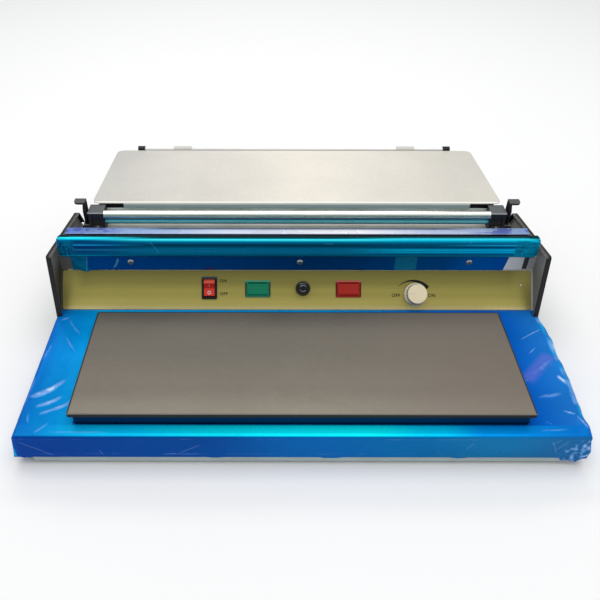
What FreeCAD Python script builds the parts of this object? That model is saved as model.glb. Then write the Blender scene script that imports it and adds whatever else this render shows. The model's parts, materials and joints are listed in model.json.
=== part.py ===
import FreeCAD, Part
import math
import os

# Table-top hand wrapper for cling film, in millimetres.
# Origin under the middle of the machine on the table, +X right, +Y back, +Z up, the operator at -Y.

V = FreeCAD.Vector

# Overall body
width = 590.0
depth = 480.0
steel = 1.2
seat_gap = 0.3
running = 0.05

# Base pan and feet
foot_height = 4.0
foot_radius = 9.0
foot_inset_x = 21.0
foot_inset_y = 13.0
foot_taper = 0.8
foot_screw_radius = 2.0
foot_screw_reach = 1.5
foot_head_radius = 4.0
foot_head_height = 1.6
foot_head_sink = 0.4
pan_inset = 10.0
pan_wall_top = 30.0
pan_corner = 6.0
skirt_bottom = 12.0

# Front deck
deck_height = 47.0
deck_edge_radius = 3.0

# Heated plate on the deck
plate_side_gap = 56.0
plate_front_gap = 12.0
plate_back_gap = 13.0
plate_thickness = 4.6
plate_edge_round = 1.0
cover_thickness = 0.4
plate_height = 20.0
plate_corner = 2.5
plate_overhang = 3.5
pad_thickness = 8.0
element_thickness = 3.0
element_margin = 14.0
element_inset = 4.0
support_rib = 10.0
cutout_radius = 8.0
cutout_height = 5.0
plate_screw_radius = 2.5
plate_screw_inset = 9.0
plate_screw_head = 4.5
plate_screw_head_height = 2.5

# Sloping control panel
panel_foot_y = -46.0
panel_top_y = -13.5
panel_top_z = 84.0
fascia_thickness = 1.0
fascia_left_gap = 4.0
fascia_right_gap = 5.0
fascia_margin = 0.4
fascia_corner = 2.5
panel_flange = 12.0
backing_leg_top = 104.0

# Solder tags behind the controls
tag_length = 7.0
tag_half = 0.4

# Controls, placed along the panel from its centre line and up its slope from the foot
rocker_x = -109.0
rocker_up = 27.0
rocker_width = 19.0
rocker_length = 28.0
rocker_bezel = 1.8
rocker_frame = 2.6
rocker_body_inset = 1.0
rocker_body_depth = 20.0
rocker_well = 7.5
rocker_pivot = 2.0
rocker_pin_radius = 1.5
rocker_pin_reach = 1.2
rocker_tip = 4.2
rocker_valley = 2.4
rocker_underside = 5.0
rocker_side_gap = 0.35
rocker_end_gap = 0.45
rocker_tilt = 11.0
rocker_tag_pitch = 8.0
rocker_tag_width = 6.0
lamp_x = (-49.0, 63.5)
lamp_up = 26.0
lamp_width = 31.5
lamp_length = 21.0
lamp_bezel = 1.2
lamp_lens_height = 2.8
lamp_lens_sink = 0.7
lamp_lens_edge = 0.5
lamp_lens_bevel = 2.0
lamp_lens_margin = 2.2
lamp_body_depth = 18.0
lamp_body_margin = 3.0
lamp_tag_x = 6.0
lamp_tag_width = 4.8
fuse_x = 7.0
fuse_up = 26.5
fuse_cap_radius = 9.2
fuse_cap_height = 7.0
fuse_cap_taper = 1.2
fuse_cap_grooves = 16
fuse_groove_radius = 0.6
fuse_slot_half = 0.8
fuse_slot_depth = 1.2
fuse_collar = 1.2
fuse_tube_radius = 7.0
fuse_floor = 3.0
fuse_carrier = 12.0
fuse_cup = 6.0
fuse_wall = 1.5
fuse_glass_radius = 2.5
fuse_glass_length = 20.0
fuse_end_length = 5.0
knob_x = 146.5
knob_up = 19.5
knob_base_radius = 14.0
knob_face_radius = 12.0
knob_height = 14.0
knob_ribs = 24
knob_rib_depth = 0.7
knob_gap = 0.5
knob_skirt = 3.0
knob_recess_radius = 8.0
knob_cover = 3.0
pointer_half = 0.45
pointer_depth = 0.5
shaft_radius = 3.0
bush_radius = 4.5
bush_height = 4.0
dimmer_radius = 12.0
dimmer_depth = 11.0
nut_across_corners = 12.8
nut_height = 2.2

# Side cheeks, as a side view of their front and top edges
cheek_foot_y = -59.0
cheek_mid_y = -43.3
cheek_mid_z = 127.0
cheek_top_y = 83.2
cheek_top_z = 105.5
cheek_drop_y = 114.5
cheek_flange = 6.4
cheek_corner = 3.0
cheek_drop_radius = 25.0
rear_height = 50.0

# Cutter beam, its bracket and the hot bar
beam_side_gap = 7.1
beam_depth = 12.0
beam_tall = 28.0
beam_bottom = 110.5
beam_round = 5.4
beam_cap = 20.0
beam_cap_grow = 0.4
groove_width = 1.6
groove_depth = 0.5
groove_heights = (11.5, 17.5)
bracket_y = -13.0
bracket_side_gap = 17.0
bracket_steel = 1.5
bracket_bottom = 85.2
bracket_top = 132.0
bracket_screw_z = 96.5
bracket_screw_pitch = 208.0
bracket_screw_shift = 3.0
screw_radius = 2.0
screw_head_radius = 4.2
screw_head_height = 2.2
channel_bottom = 106.0
channel_leg_top = 117.6
insulator_depth = 11.0
insulator_height = 5.8
insulator_front = -2.0
hot_bar_side_gap = 23.0
hot_bar_depth = 8.0
hot_bar_height = 5.5
hot_bar_round = 3.0
lead_radius = 1.1

# Film rest strip and the wall in front of the film bay
strip_front = 13.0
strip_back = 26.2
strip_top = 120.0
strip_lip = 3.0

# Film bay frames, ties and rollers
bay_side_gap = 45.0
frame_steel = 2.0
frame_front = 31.0
frame_foot = 14.0
frame_flange_z = 108.0
frame_flange_back = 58.5
frame_clear = 1.2
tie_thickness = 2.0
roller_tie_front = 33.0
roller_tie_back = 51.0
housing_reach_in = 7.0
housing_reach_out = 12.5
housing_front = 36.0
housing_back = 57.4
housing_top = 135.0
housing_corner = 1.5
housing_recess = 1.2
upper_roller_y = 40.5
upper_roller_z = 130.0
upper_roller_radius = 5.5
upper_journal_radius = 3.0
lower_roller_y = 43.0
lower_roller_z = 119.8
lower_roller_radius = 4.0
lower_journal_radius = 2.2
journal_length = 8.0
bed_roller_radius = 11.0
bed_journal_radius = 4.0
bed_roller_from_back = (137.5, 65.5)
bed_roller_z = 34.0
bed_bush_radius = 6.0
bed_bush_flange = 9.0
bed_bush_flange_thickness = 1.5
bed_bush_end = 2.0

# Latch levers on the roller housings
latch_pin_out = 6.5
latch_pin_z = 114.0
latch_pin_radius = 1.5
latch_eye = 3.0
latch_steel = 2.4
latch_top = 145.0
latch_tail = 8.0
latch_gap = 0.3
latch_slope = 9.0
lug_thickness = 2.4
tab_reach = 13.7
tab_depth = 11.0
tab_corner = 5.0

# Lid over the film bay
lid_overhang = 10.0
lid_front_y = 56.5
lid_front_z = 137.7
lid_rod_gap = 5.5
lid_back_z = 122.4
lid_corner = 9.0
lid_steel = 1.2
lid_lip = 7.5
lid_lip_inset = 39.5
lid_side_lip = 5.0
bumper_gap = 1.0
bumper_width = 25.0
bumper_depth = 9.0
front_tie_front = 58.0
front_tie_back = 72.0
front_tie_top = 129.4
front_tie_drop = 9.5

# Rear hinge rod
rod_from_back = 7.5
rod_z = 121.6
rod_radius = 3.0
rod_inset = 19.0
ear_width = 10.0
ear_round = 4.7
rear_tie_top = 112.0
rear_tie_drop = 14.0
rear_tie_reach = 6.5
strap_inset = 66.0
strap_width = 26.0
strap_round = 4.6
strap_steel = 1.4
strap_reach = 30.0

# Rear wall
rear_flange = 12.0
louvre_count = 7
louvre_pitch = 14.0
louvre_length = 8.0
louvre_margin = 2.0
louvre_x = -150.0
gland_side_gap = 95.0
gland_z = 30.0
gland_bore = 3.6
gland_radius = 8.0
gland_flange_radius = 10.5
gland_flange_thickness = 2.5
gland_neck = 9.0

# Terminal block on the pan floor
block_side_gap = 51.0
block_y = 2.0
block_length = 36.0
block_width = 16.0
block_height = 18.0
block_poles = 4
block_slot_half = 0.8
block_base = 0.6
lead_pole = 8.0

# Sizes worked out from those above
half = width / 2
front_y = -depth / 2
back_y = depth / 2 - gland_flange_thickness
web_inner = half - steel
pan_floor = foot_height + steel
pan_half = half - pan_inset
pan_front = front_y + steel
pan_back = back_y - steel
panel_rise = panel_top_z - deck_height
panel_run = panel_top_y - panel_foot_y
panel_lean = math.degrees(math.atan2(panel_run, panel_rise))
panel_length = math.hypot(panel_rise, panel_run)
plate_half = half - plate_side_gap
plate_front = front_y + plate_front_gap
plate_back = cheek_foot_y - plate_back_gap
base_top = deck_height + plate_height - plate_thickness - cover_thickness
beam_half = half - beam_side_gap
bracket_half = half - bracket_side_gap
hot_bar_half = half - hot_bar_side_gap
bay_half = half - bay_side_gap
housing_inner = bay_half - housing_reach_in
housing_outer = bay_half + housing_reach_out
latch_pin_x = housing_outer + latch_pin_out
bed_roller_y = [back_y - reach for reach in bed_roller_from_back]
lid_half = bay_half + lid_overhang
lid_lip_half = lid_half - lid_lip_inset
rod_y = back_y - rod_from_back
rod_half = bay_half - rod_inset
strap_x = rod_half - strap_inset
lid_back_y = rod_y - lid_rod_gap
lid_tilt = math.degrees(math.atan2(lid_front_z - lid_back_z, lid_back_y - lid_front_y))
lid_length = math.hypot(lid_back_y - lid_front_y, lid_front_z - lid_back_z)
housing_bottom = frame_flange_z + tie_thickness
frame_back = pan_back - steel
beam_back = bracket_y
beam_front = beam_back - beam_depth
gland_x = half - gland_side_gap
block_x = half - block_side_gap
lead_x = block_x + lead_pole

# Route of the cutter's lead, from the hot bar's end to the top of the terminal block
lead_points = ((hot_bar_half, 3.5, 116.0), (half - 10.5, 3.5, 116.0), (half - 10.0, -7.0, 98.0),
               (half - 11.0, -3.0, 72.0), (half - 19.0, 1.0, 52.0), (half - 33.0, block_y, 36.0),
               (lead_x, block_y, 29.0), (lead_x, block_y, pan_floor + block_height))

parts = {}


def box(x0, x1, y0, y1, z0, z1):
    """Block between two corners."""
    return Part.makeBox(x1 - x0, y1 - y0, z1 - z0, V(x0, y0, z0))


def cylinder(radius, start, end):
    """Round bar from one point to another."""
    axis = V(*end).sub(V(*start))
    return Part.makeCylinder(radius, axis.Length, V(*start), axis)


def rounded_wire(points, radii, place):
    """Closed outline through 2-D points, each corner rounded by its radius."""
    count = len(points)
    ends = []
    for i in range(count):
        corner = V(points[i][0], points[i][1], 0)
        before = V(points[i - 1][0], points[i - 1][1], 0).sub(corner)
        after = V(points[(i + 1) % count][0], points[(i + 1) % count][1], 0).sub(corner)
        if radii[i] <= 0:
            ends.append((corner, None, corner))
            continue
        before.normalize()
        after.normalize()
        half_angle = before.getAngle(after) / 2
        reach = radii[i] / math.tan(half_angle)
        bisector = before.add(after)
        bisector.normalize()
        centre = corner.add(bisector * (radii[i] / math.sin(half_angle)))
        ends.append((corner.add(before * reach), centre.sub(bisector * radii[i]), corner.add(after * reach)))
    edges = []
    for i in range(count):
        start, middle, end = ends[i]
        if middle is not None:
            edges.append(Part.Arc(place(start), place(middle), place(end)).toShape())
        following = ends[(i + 1) % count][0]
        if end.distanceToPoint(following) > 1e-6:
            edges.append(Part.makeLine(place(end), place(following)))
    return Part.Wire(edges)


def corner_radii(points, radii):
    """One radius for every corner, or a list with one each."""
    return list(radii) if isinstance(radii, (list, tuple)) else [radii] * len(points)


def along_x(points, radii, x0, x1):
    """Side-view outline (y, z) pushed from x0 to x1."""
    wire = rounded_wire(points, corner_radii(points, radii), lambda p: V(x0, p.x, p.y))
    return Part.Face(wire).extrude(V(x1 - x0, 0, 0))


def along_y(points, radii, y0, y1):
    """Front-view outline (x, z) pushed from y0 to y1."""
    wire = rounded_wire(points, corner_radii(points, radii), lambda p: V(p.x, y0, p.y))
    return Part.Face(wire).extrude(V(0, y1 - y0, 0))


def along_z(points, radii, z0, z1):
    """Top-view outline (x, y) pushed from z0 to z1."""
    wire = rounded_wire(points, corner_radii(points, radii), lambda p: V(p.x, p.y, z0))
    return Part.Face(wire).extrude(V(0, 0, z1 - z0))


def rectangle(x0, x1, y0, y1):
    """Corner points of a rectangle, counterclockwise."""
    return [(x0, y0), (x1, y0), (x1, y1), (x0, y1)]


def sheet_outline(points, thickness, bend):
    """Outline of bent sheet: a line and its copy one thickness to the left, or to the right if negative."""
    normals = []
    for a, b in zip(points[:-1], points[1:]):
        length = math.hypot(b[0] - a[0], b[1] - a[1])
        normals.append(((a[1] - b[1]) / length, (b[0] - a[0]) / length))
    copy = []
    gauge = abs(thickness)
    line_radii = [0.0] * len(points)
    copy_radii = [0.0] * len(points)
    for i, point in enumerate(points):
        n0 = normals[max(i - 1, 0)]
        n1 = normals[min(i, len(normals) - 1)]
        scale = thickness / (1 + n0[0] * n1[0] + n0[1] * n1[1])
        copy.append((point[0] + (n0[0] + n1[0]) * scale, point[1] + (n0[1] + n1[1]) * scale))
        if 0 < i < len(points) - 1:
            copy_inside = (n0[0] * n1[1] - n0[1] * n1[0]) * thickness > 0
            line_radii[i] = bend + gauge if copy_inside else bend
            copy_radii[i] = bend if copy_inside else bend + gauge
    return list(points) + copy[::-1], line_radii + copy_radii[::-1]


def sheet_x(points, thickness, bend, x0, x1):
    """Bent sheet with the same side view from x0 to x1."""
    outline, radii = sheet_outline(points, thickness, bend)
    return along_x(outline, radii, x0, x1)


def sheet_y(points, thickness, bend, y0, y1):
    """Bent sheet with the same front view from y0 to y1."""
    outline, radii = sheet_outline(points, thickness, bend)
    return along_y(outline, radii, y0, y1)


def joined(shapes):
    """One solid made of pieces that touch or overlap."""
    result = shapes[0]
    for shape in shapes[1:]:
        result = result.fuse(shape)
    return result.removeSplitter()


def mirrored(shape):
    """Copy on the other side of the middle plane."""
    return shape.mirror(V(0, 0, 0), V(1, 0, 0))


def on_panel(shape, x=0.0, up=0.0):
    """Moves a shape drawn with X across, Y up the slope and Z out of the fascia to its place on the panel."""
    moved = shape.copy()
    moved.translate(V(x, up, 0))
    moved.rotate(V(0, 0, 0), V(1, 0, 0), 90 - panel_lean)
    moved.translate(V(0, panel_foot_y, deck_height))
    return moved


def on_lid(shape):
    """Moves a shape drawn with Y back from the lid's front edge and Z up from its top face to its place."""
    moved = shape.copy()
    moved.rotate(V(0, 0, 0), V(1, 0, 0), -lid_tilt)
    moved.translate(V(0, lid_front_y, lid_front_z))
    return moved


def lid_under_z(y):
    """Height of the lid's underside at a depth y."""
    slope = math.tan(math.radians(lid_tilt))
    return lid_front_z - (y - lid_front_y) * slope - lid_steel / math.cos(math.radians(lid_tilt))


def pan_head_screw(tip, head_seat, radius, head_radius, head_height):
    """Screw with a domed head whose flat underside sits at head_seat and whose shank ends at tip."""
    direction = V(*head_seat).sub(V(*tip))
    direction.normalize()
    length = V(*head_seat).distanceToPoint(V(*tip))
    shoulder = head_height * 0.4
    outline = [(0, -length), (radius, -length), (radius, 0), (head_radius, 0), (head_radius, shoulder),
               (head_radius * 0.55, head_height), (0, head_height)]
    wire = rounded_wire(outline, [0, 0, 0, 0, head_height * 0.3, head_height * 0.4, 0],
                        lambda p: V(p.x, 0, p.y))
    screw = Part.Face(wire).revolve(V(0, 0, 0), V(0, 0, 1), 360)
    slot = box(-head_radius, head_radius, -0.4, 0.4, head_height - 0.8, head_height + 1)
    cross = box(-0.4, 0.4, -head_radius, head_radius, head_height - 0.8, head_height + 1)
    reach = Part.makeCylinder(head_radius * 0.6, head_height + 2)
    screw = screw.cut(slot.fuse(cross).common(reach))
    screw.Placement = FreeCAD.Placement(V(*head_seat), FreeCAD.Rotation(V(0, 0, 1), direction))
    return screw


def foot_places():
    """Names and centres of the four feet."""
    foot_x = half - foot_inset_x
    foot_y = depth / 2 - foot_inset_y
    return {"front_left": (-foot_x, -foot_y), "front_right": (foot_x, -foot_y),
            "rear_left": (-foot_x, foot_y), "rear_right": (foot_x, foot_y)}


def make_base_pan():
    """Open steel tray that carries everything, with a hole for each foot screw."""
    outer = along_z(rectangle(-pan_half, pan_half, pan_front, pan_back), pan_corner,
                    foot_height, pan_wall_top)
    inner = along_z(rectangle(-pan_half + steel, pan_half - steel, pan_front + steel, pan_back - steel),
                    pan_corner - steel, pan_floor, pan_wall_top + steel)
    pan = outer.cut(inner)
    for x, y in foot_places().values():
        pan = pan.cut(cylinder(foot_screw_radius, (x, y, 0), (x, y, pan_floor + 1)))
    parts["base_pan"] = pan


def make_feet():
    """Rubber foot pads, each with a sunk screw."""
    screws = []
    for name, (x, y) in foot_places().items():
        seat = foot_head_height + foot_head_sink
        pad = Part.makeCone(foot_radius - foot_taper, foot_radius, foot_height, V(x, y, 0), V(0, 0, 1))
        pad = pad.cut(cylinder(foot_screw_radius, (x, y, -1), (x, y, foot_height + 1)))
        pad = pad.cut(cylinder(foot_head_radius + seat_gap, (x, y, -1), (x, y, seat)))
        parts["foot_" + name] = pad
        screws.append(pan_head_screw((x, y, pan_floor + foot_screw_reach), (x, y, seat),
                                     foot_screw_radius, foot_head_radius, foot_head_height))
    parts["foot_screws"] = Part.makeCompound(screws)


def make_deck_shell():
    """Stainless deck with a front skirt, two side skirts and a tongue that runs under the panel's foot."""
    outer = along_z(rectangle(-half, half, front_y, cheek_foot_y), [deck_edge_radius, deck_edge_radius, 0, 0],
                    skirt_bottom, deck_height)
    top_edges = [edge for edge in outer.Edges if edge.BoundBox.ZMin > deck_height - 0.01
                 and edge.BoundBox.YMin < cheek_foot_y - 1]
    outer = outer.makeFillet(deck_edge_radius - 0.1, top_edges)
    inner = along_z(rectangle(-half + steel, half - steel, front_y + steel, cheek_foot_y + 1),
                    [deck_edge_radius - steel, deck_edge_radius - steel, 0, 0],
                    skirt_bottom - 1, deck_height - steel)
    tongue = box(-web_inner, web_inner, cheek_foot_y - 1, panel_foot_y - seat_gap,
                 deck_height - steel, deck_height)
    shell = outer.cut(inner).fuse(tongue)
    notch = box(half - cheek_flange - seat_gap, half, cheek_foot_y, cheek_foot_y + steel + seat_gap,
                deck_height - 2 * steel, deck_height + 1)
    shell = shell.cut(notch).cut(mirrored(notch))
    parts["deck_shell"] = shell.removeSplitter()


def cheek_outline():
    """Side view of a cheek: upright foot, leaning front, sloping top, concave drop and low rear."""
    points = [(cheek_foot_y, skirt_bottom), (back_y, skirt_bottom), (back_y, rear_height),
              (cheek_drop_y, rear_height), (cheek_top_y, cheek_top_z), (cheek_mid_y, cheek_mid_z),
              (cheek_foot_y, deck_height)]
    radii = [0, 0, 0, cheek_drop_radius, cheek_corner, cheek_corner, 6.0]
    return points, radii


def make_cheeks():
    """Painted side sheets, folded inward along the front and the top, with a ledge beside the film bay."""
    points, radii = cheek_outline()
    wire = rounded_wire(points, radii, lambda p: V(web_inner, p.x, p.y))
    web = Part.Face(wire).extrude(V(steel, 0, 0))
    inner_wire = wire.makeOffset2D(-steel)
    inset = half - cheek_flange
    rim_wire = wire.copy()
    rim_wire.translate(V(inset - web_inner, 0, 0))
    hole_wire = inner_wire.copy()
    hole_wire.translate(V(inset - web_inner, 0, 0))
    rim = Part.Face(rim_wire).extrude(V(cheek_flange - steel, 0, 0))
    rim = rim.cut(Part.Face(hole_wire).extrude(V(cheek_flange, 0, 0)))
    kept = box(inset, half, cheek_foot_y - 1, cheek_top_y + 12, skirt_bottom + 2, cheek_mid_z + 1)
    rim = rim.common(kept)
    bottom = box(pan_half, web_inner, cheek_foot_y, back_y - 2 * steel, skirt_bottom, skirt_bottom + steel)
    ledge = box(bay_half + frame_steel, web_inner, strip_back + 1, pan_back, rear_height - steel, rear_height)
    cheek = joined([web, rim, bottom, ledge])
    parts["cheek_right"] = cheek
    parts["cheek_left"] = mirrored(cheek)


def make_rear_wall():
    """Low rear sheet with a folded top, upright vents and a hole for the cord gland through wall and pan."""
    wall = box(-web_inner, web_inner, back_y - steel, back_y, skirt_bottom, rear_height)
    flange = box(-bay_half + seat_gap, bay_half - seat_gap, back_y - rear_flange, back_y,
                 rear_height - steel, rear_height)
    wall = joined([wall, flange])
    for i in range(louvre_count):
        x = louvre_x + i * louvre_pitch
        slot = along_y(rectangle(x - louvre_length / 2, x + louvre_length / 2,
                                 pan_wall_top + louvre_margin, rear_height - steel - louvre_margin),
                       2.0, back_y - 5, back_y + 1)
        wall = wall.cut(slot)
    hole = cylinder(gland_radius, (gland_x, back_y - 5, gland_z), (gland_x, back_y + 5, gland_z))
    parts["base_pan"] = parts["base_pan"].cut(hole)
    parts["rear_wall"] = wall.cut(hole)


def make_cord_gland():
    """Turned cable gland in the rear wall and the pan's rear wall, open along its axis."""
    tip = back_y - gland_neck
    rim = back_y + gland_flange_thickness
    outline = [(gland_bore, tip), (gland_radius, tip), (gland_radius, back_y), (gland_flange_radius, back_y),
               (gland_flange_radius, rim), (gland_bore, rim)]
    wire = rounded_wire(outline, [0, 0.8, 0, 0, 1.0, 0.6], lambda p: V(p.x, p.y, 0))
    gland = Part.Face(wire).revolve(V(0, 0, 0), V(0, 1, 0), 360)
    gland.translate(V(gland_x, 0, gland_z))
    parts["cord_gland"] = gland


def make_partition():
    """Wall between the electrics and the film bay, with a foot and a folded top under the rest strip."""
    line = [(strip_front + 2 * steel, strip_top - steel), (strip_back, strip_top - steel),
            (strip_back, pan_floor), (strip_back - frame_foot, pan_floor)]
    web = sheet_x(line, -steel, 0.8, -bracket_half, bracket_half)
    parts["partition"] = web
    rest = [(strip_front, strip_top - strip_lip), (strip_front, strip_top), (strip_back + steel, strip_top),
            (strip_back + steel, strip_top - strip_lip)]
    parts["film_rest_strip"] = sheet_x(rest, -steel, 0.6, -beam_half, beam_half)


def backing_front_y(z):
    """Depth of the steel panel's front face at a height z."""
    lean = math.radians(panel_lean)
    y0 = panel_foot_y + fascia_thickness * math.cos(lean)
    z0 = deck_height - fascia_thickness * math.sin(lean)
    return y0 + (z - z0) * math.tan(lean)


def panel_cuts():
    """Openings for the switch, the lamps, the fuse holder and the dimmer's bush in both panel sheets."""
    reach = panel_flange
    cuts = []
    rocker_w = rocker_width / 2 - rocker_body_inset
    rocker_l = rocker_length / 2 - rocker_body_inset
    rocker = box(-rocker_w, rocker_w, -rocker_l, rocker_l, -reach, reach)
    cuts.append(on_panel(rocker, rocker_x, rocker_up))
    for x in lamp_x:
        lamp = box(-lamp_width / 2 + lamp_body_margin, lamp_width / 2 - lamp_body_margin,
                   -lamp_length / 2 + lamp_body_margin, lamp_length / 2 - lamp_body_margin, -reach, reach)
        cuts.append(on_panel(lamp, x, lamp_up))
    cuts.append(on_panel(cylinder(fuse_tube_radius, (0, 0, -reach), (0, 0, reach)), fuse_x, fuse_up))
    cuts.append(on_panel(cylinder(bush_radius, (0, 0, -reach), (0, 0, reach)), knob_x, knob_up))
    return cuts


def make_panel():
    """Printed fascia glued on a bent steel panel."""
    face = along_z(rectangle(fascia_left_gap - half, half - fascia_right_gap, fascia_margin,
                             panel_length - fascia_margin), fascia_corner, -fascia_thickness, 0)
    fascia = on_panel(face)
    under_deck = deck_height - steel
    leg_front = bracket_y + bracket_steel
    lean = math.radians(panel_lean)
    bend_low = (backing_front_y(under_deck), under_deck)
    bend_high = (leg_front, under_deck + (leg_front - bend_low[0]) / math.tan(lean))
    line = [(bend_low[0] - panel_flange, under_deck), bend_low, bend_high, (leg_front, backing_leg_top)]
    backing = sheet_x(line, -steel, 0.8, -web_inner + seat_gap, web_inner - seat_gap)
    for cut in panel_cuts():
        fascia = fascia.cut(cut)
        backing = backing.cut(cut)
    for x in screw_places():
        backing = backing.cut(cylinder(screw_radius, (x, bracket_y - 5, bracket_screw_z),
                                       (x, bracket_y + 8, bracket_screw_z)))
    parts["control_panel"] = fascia
    parts["panel_backing"] = backing


def solder_tag(x, up, tag_width, root):
    """Thin contact blade that stands out behind a control's body."""
    return box(x - tag_width / 2, x + tag_width / 2, up - tag_half, up + tag_half, root - tag_length,
               root + tag_half)


def make_rocker():
    """Rocker switch: housing with a raised frame, and a paddle that tips on a pin inside it."""
    outer_w = rocker_width / 2
    outer_l = rocker_length / 2
    frame = along_z(rectangle(-outer_w, outer_w, -outer_l, outer_l), 1.5, 0, rocker_bezel)
    body = box(-outer_w + rocker_body_inset, outer_w - rocker_body_inset, -outer_l + rocker_body_inset,
               outer_l - rocker_body_inset, -rocker_body_depth, 0)
    window_w = outer_w - rocker_frame
    window_l = outer_l - rocker_frame
    housing = frame.fuse(body).cut(box(-window_w, window_w, -window_l, window_l, -rocker_well,
                                       rocker_bezel + 1))
    pin_end = window_w + rocker_pin_reach
    for side in (-1, 1):
        housing = housing.cut(cylinder(rocker_pin_radius + running, (side * window_w, 0, -rocker_pivot),
                                       (side * (pin_end + seat_gap), 0, -rocker_pivot)))
    tags = [solder_tag(0, i * rocker_tag_pitch, rocker_tag_width, -rocker_body_depth) for i in (-1, 0, 1)]
    parts["rocker_housing"] = on_panel(joined([housing] + tags), rocker_x, rocker_up)
    reach = window_l - rocker_end_gap
    lean = math.acos((rocker_tip + rocker_pivot) / reach)
    points = [(-reach, -rocker_pivot), (-reach * 0.45, -rocker_underside), (reach * 0.45, -rocker_underside),
              (reach, -rocker_pivot), (reach * math.sin(lean), rocker_tip), (0, rocker_valley),
              (-reach * math.sin(lean), rocker_tip)]
    paddle = along_x(points, [0, 1, 1, 0, 0.8, 6.0, 0.8], -window_w + rocker_side_gap,
                     window_w - rocker_side_gap)
    for side in (-1, 1):
        paddle = paddle.fuse(cylinder(rocker_pin_radius, (side * (window_w - 1), 0, -rocker_pivot),
                                      (side * pin_end, 0, -rocker_pivot)))
    paddle.rotate(V(0, 0, -rocker_pivot), V(1, 0, 0), rocker_tilt)
    parts["rocker_paddle"] = on_panel(paddle.removeSplitter(), rocker_x, rocker_up)


def make_lamps():
    """Two signal lamps: a housing through the panel and a bevelled coloured lens in its frame."""
    for name, x in zip(("power", "heat"), lamp_x):
        w = lamp_width / 2
        l = lamp_length / 2
        m = lamp_body_margin
        frame = along_z(rectangle(-w, w, -l, l), 1.2, 0, lamp_bezel)
        body = box(-w + m, w - m, -l + m, l - m, -lamp_body_depth, 0)
        k = lamp_lens_margin
        seat = lamp_bezel - lamp_lens_sink
        pocket = box(-w + k, w - k, -l + k, l - k, seat, lamp_bezel + 1)
        tags = [solder_tag(side * lamp_tag_x, 0, lamp_tag_width, -lamp_body_depth) for side in (-1, 1)]
        housing = joined([frame.fuse(body).cut(pocket)] + tags)
        parts[name + "_lamp_housing"] = on_panel(housing, x, lamp_up)
        sections = []
        levels = ((k, seat), (k, lamp_bezel + lamp_lens_edge), (k + lamp_lens_bevel, lamp_lens_height))
        for inset, z in levels:
            ring = rectangle(-w + inset, w - inset, -l + inset, l - inset)
            sections.append(rounded_wire(ring, [0.5] * 4, lambda p: V(p.x, p.y, z)))
        parts[name + "_lamp_lens"] = on_panel(Part.makeLoft(sections, True, True), x, lamp_up)


def make_fuse():
    """Panel fuse holder: tube behind the panel, screw cap with a carrier, and a glass fuse in the carrier."""
    bore = fuse_tube_radius - fuse_wall
    glass_top = fuse_cup - fuse_carrier
    glass_low = glass_top - fuse_glass_length
    tube_floor = glass_low - seat_gap
    tube_low = tube_floor - fuse_floor
    collar = cylinder(fuse_cap_radius - running, (0, 0, 0), (0, 0, fuse_collar))
    tube = cylinder(fuse_tube_radius, (0, 0, tube_low), (0, 0, fuse_collar / 2))
    holder = collar.fuse(tube).cut(cylinder(bore, (0, 0, tube_floor), (0, 0, fuse_collar + 1)))
    contact = solder_tag(0, 0, lamp_tag_width, tube_low)
    parts["fuse_holder_body"] = on_panel(joined([holder, contact]), fuse_x, fuse_up)
    cap_bottom = fuse_collar + running
    cap_top = cap_bottom + fuse_cap_height
    cap = Part.makeCone(fuse_cap_radius, fuse_cap_radius - fuse_cap_taper, fuse_cap_height,
                        V(0, 0, cap_bottom))
    for i in range(fuse_cap_grooves):
        groove = Part.makeCylinder(fuse_groove_radius, fuse_cap_height + 1,
                                   V(fuse_cap_radius + fuse_groove_radius / 4, 0, cap_bottom - 0.5))
        groove.rotate(V(0, 0, 0), V(0, 0, 1), i * 360 / fuse_cap_grooves)
        cap = cap.cut(groove)
    slot_reach = fuse_cap_radius * 0.55
    cap = cap.cut(box(-fuse_slot_half, fuse_slot_half, -slot_reach, slot_reach, cap_top - fuse_slot_depth,
                      cap_top + 1))
    carrier = cylinder(bore - running, (0, 0, -fuse_carrier), (0, 0, cap_bottom))
    cup = cylinder(fuse_glass_radius + running, (0, 0, -fuse_carrier - 1), (0, 0, glass_top))
    parts["fuse_cap"] = on_panel(joined([cap, carrier.cut(cup)]), fuse_x, fuse_up)
    glass = cylinder(fuse_glass_radius - 2 * running, (0, 0, glass_low + fuse_end_length - 1),
                     (0, 0, glass_top - fuse_end_length + 1))
    ends = [cylinder(fuse_glass_radius, (0, 0, low), (0, 0, low + fuse_end_length))
            for low in (glass_low, glass_top - fuse_end_length)]
    parts["glass_fuse"] = on_panel(joined([glass] + ends), fuse_x, fuse_up)


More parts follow.
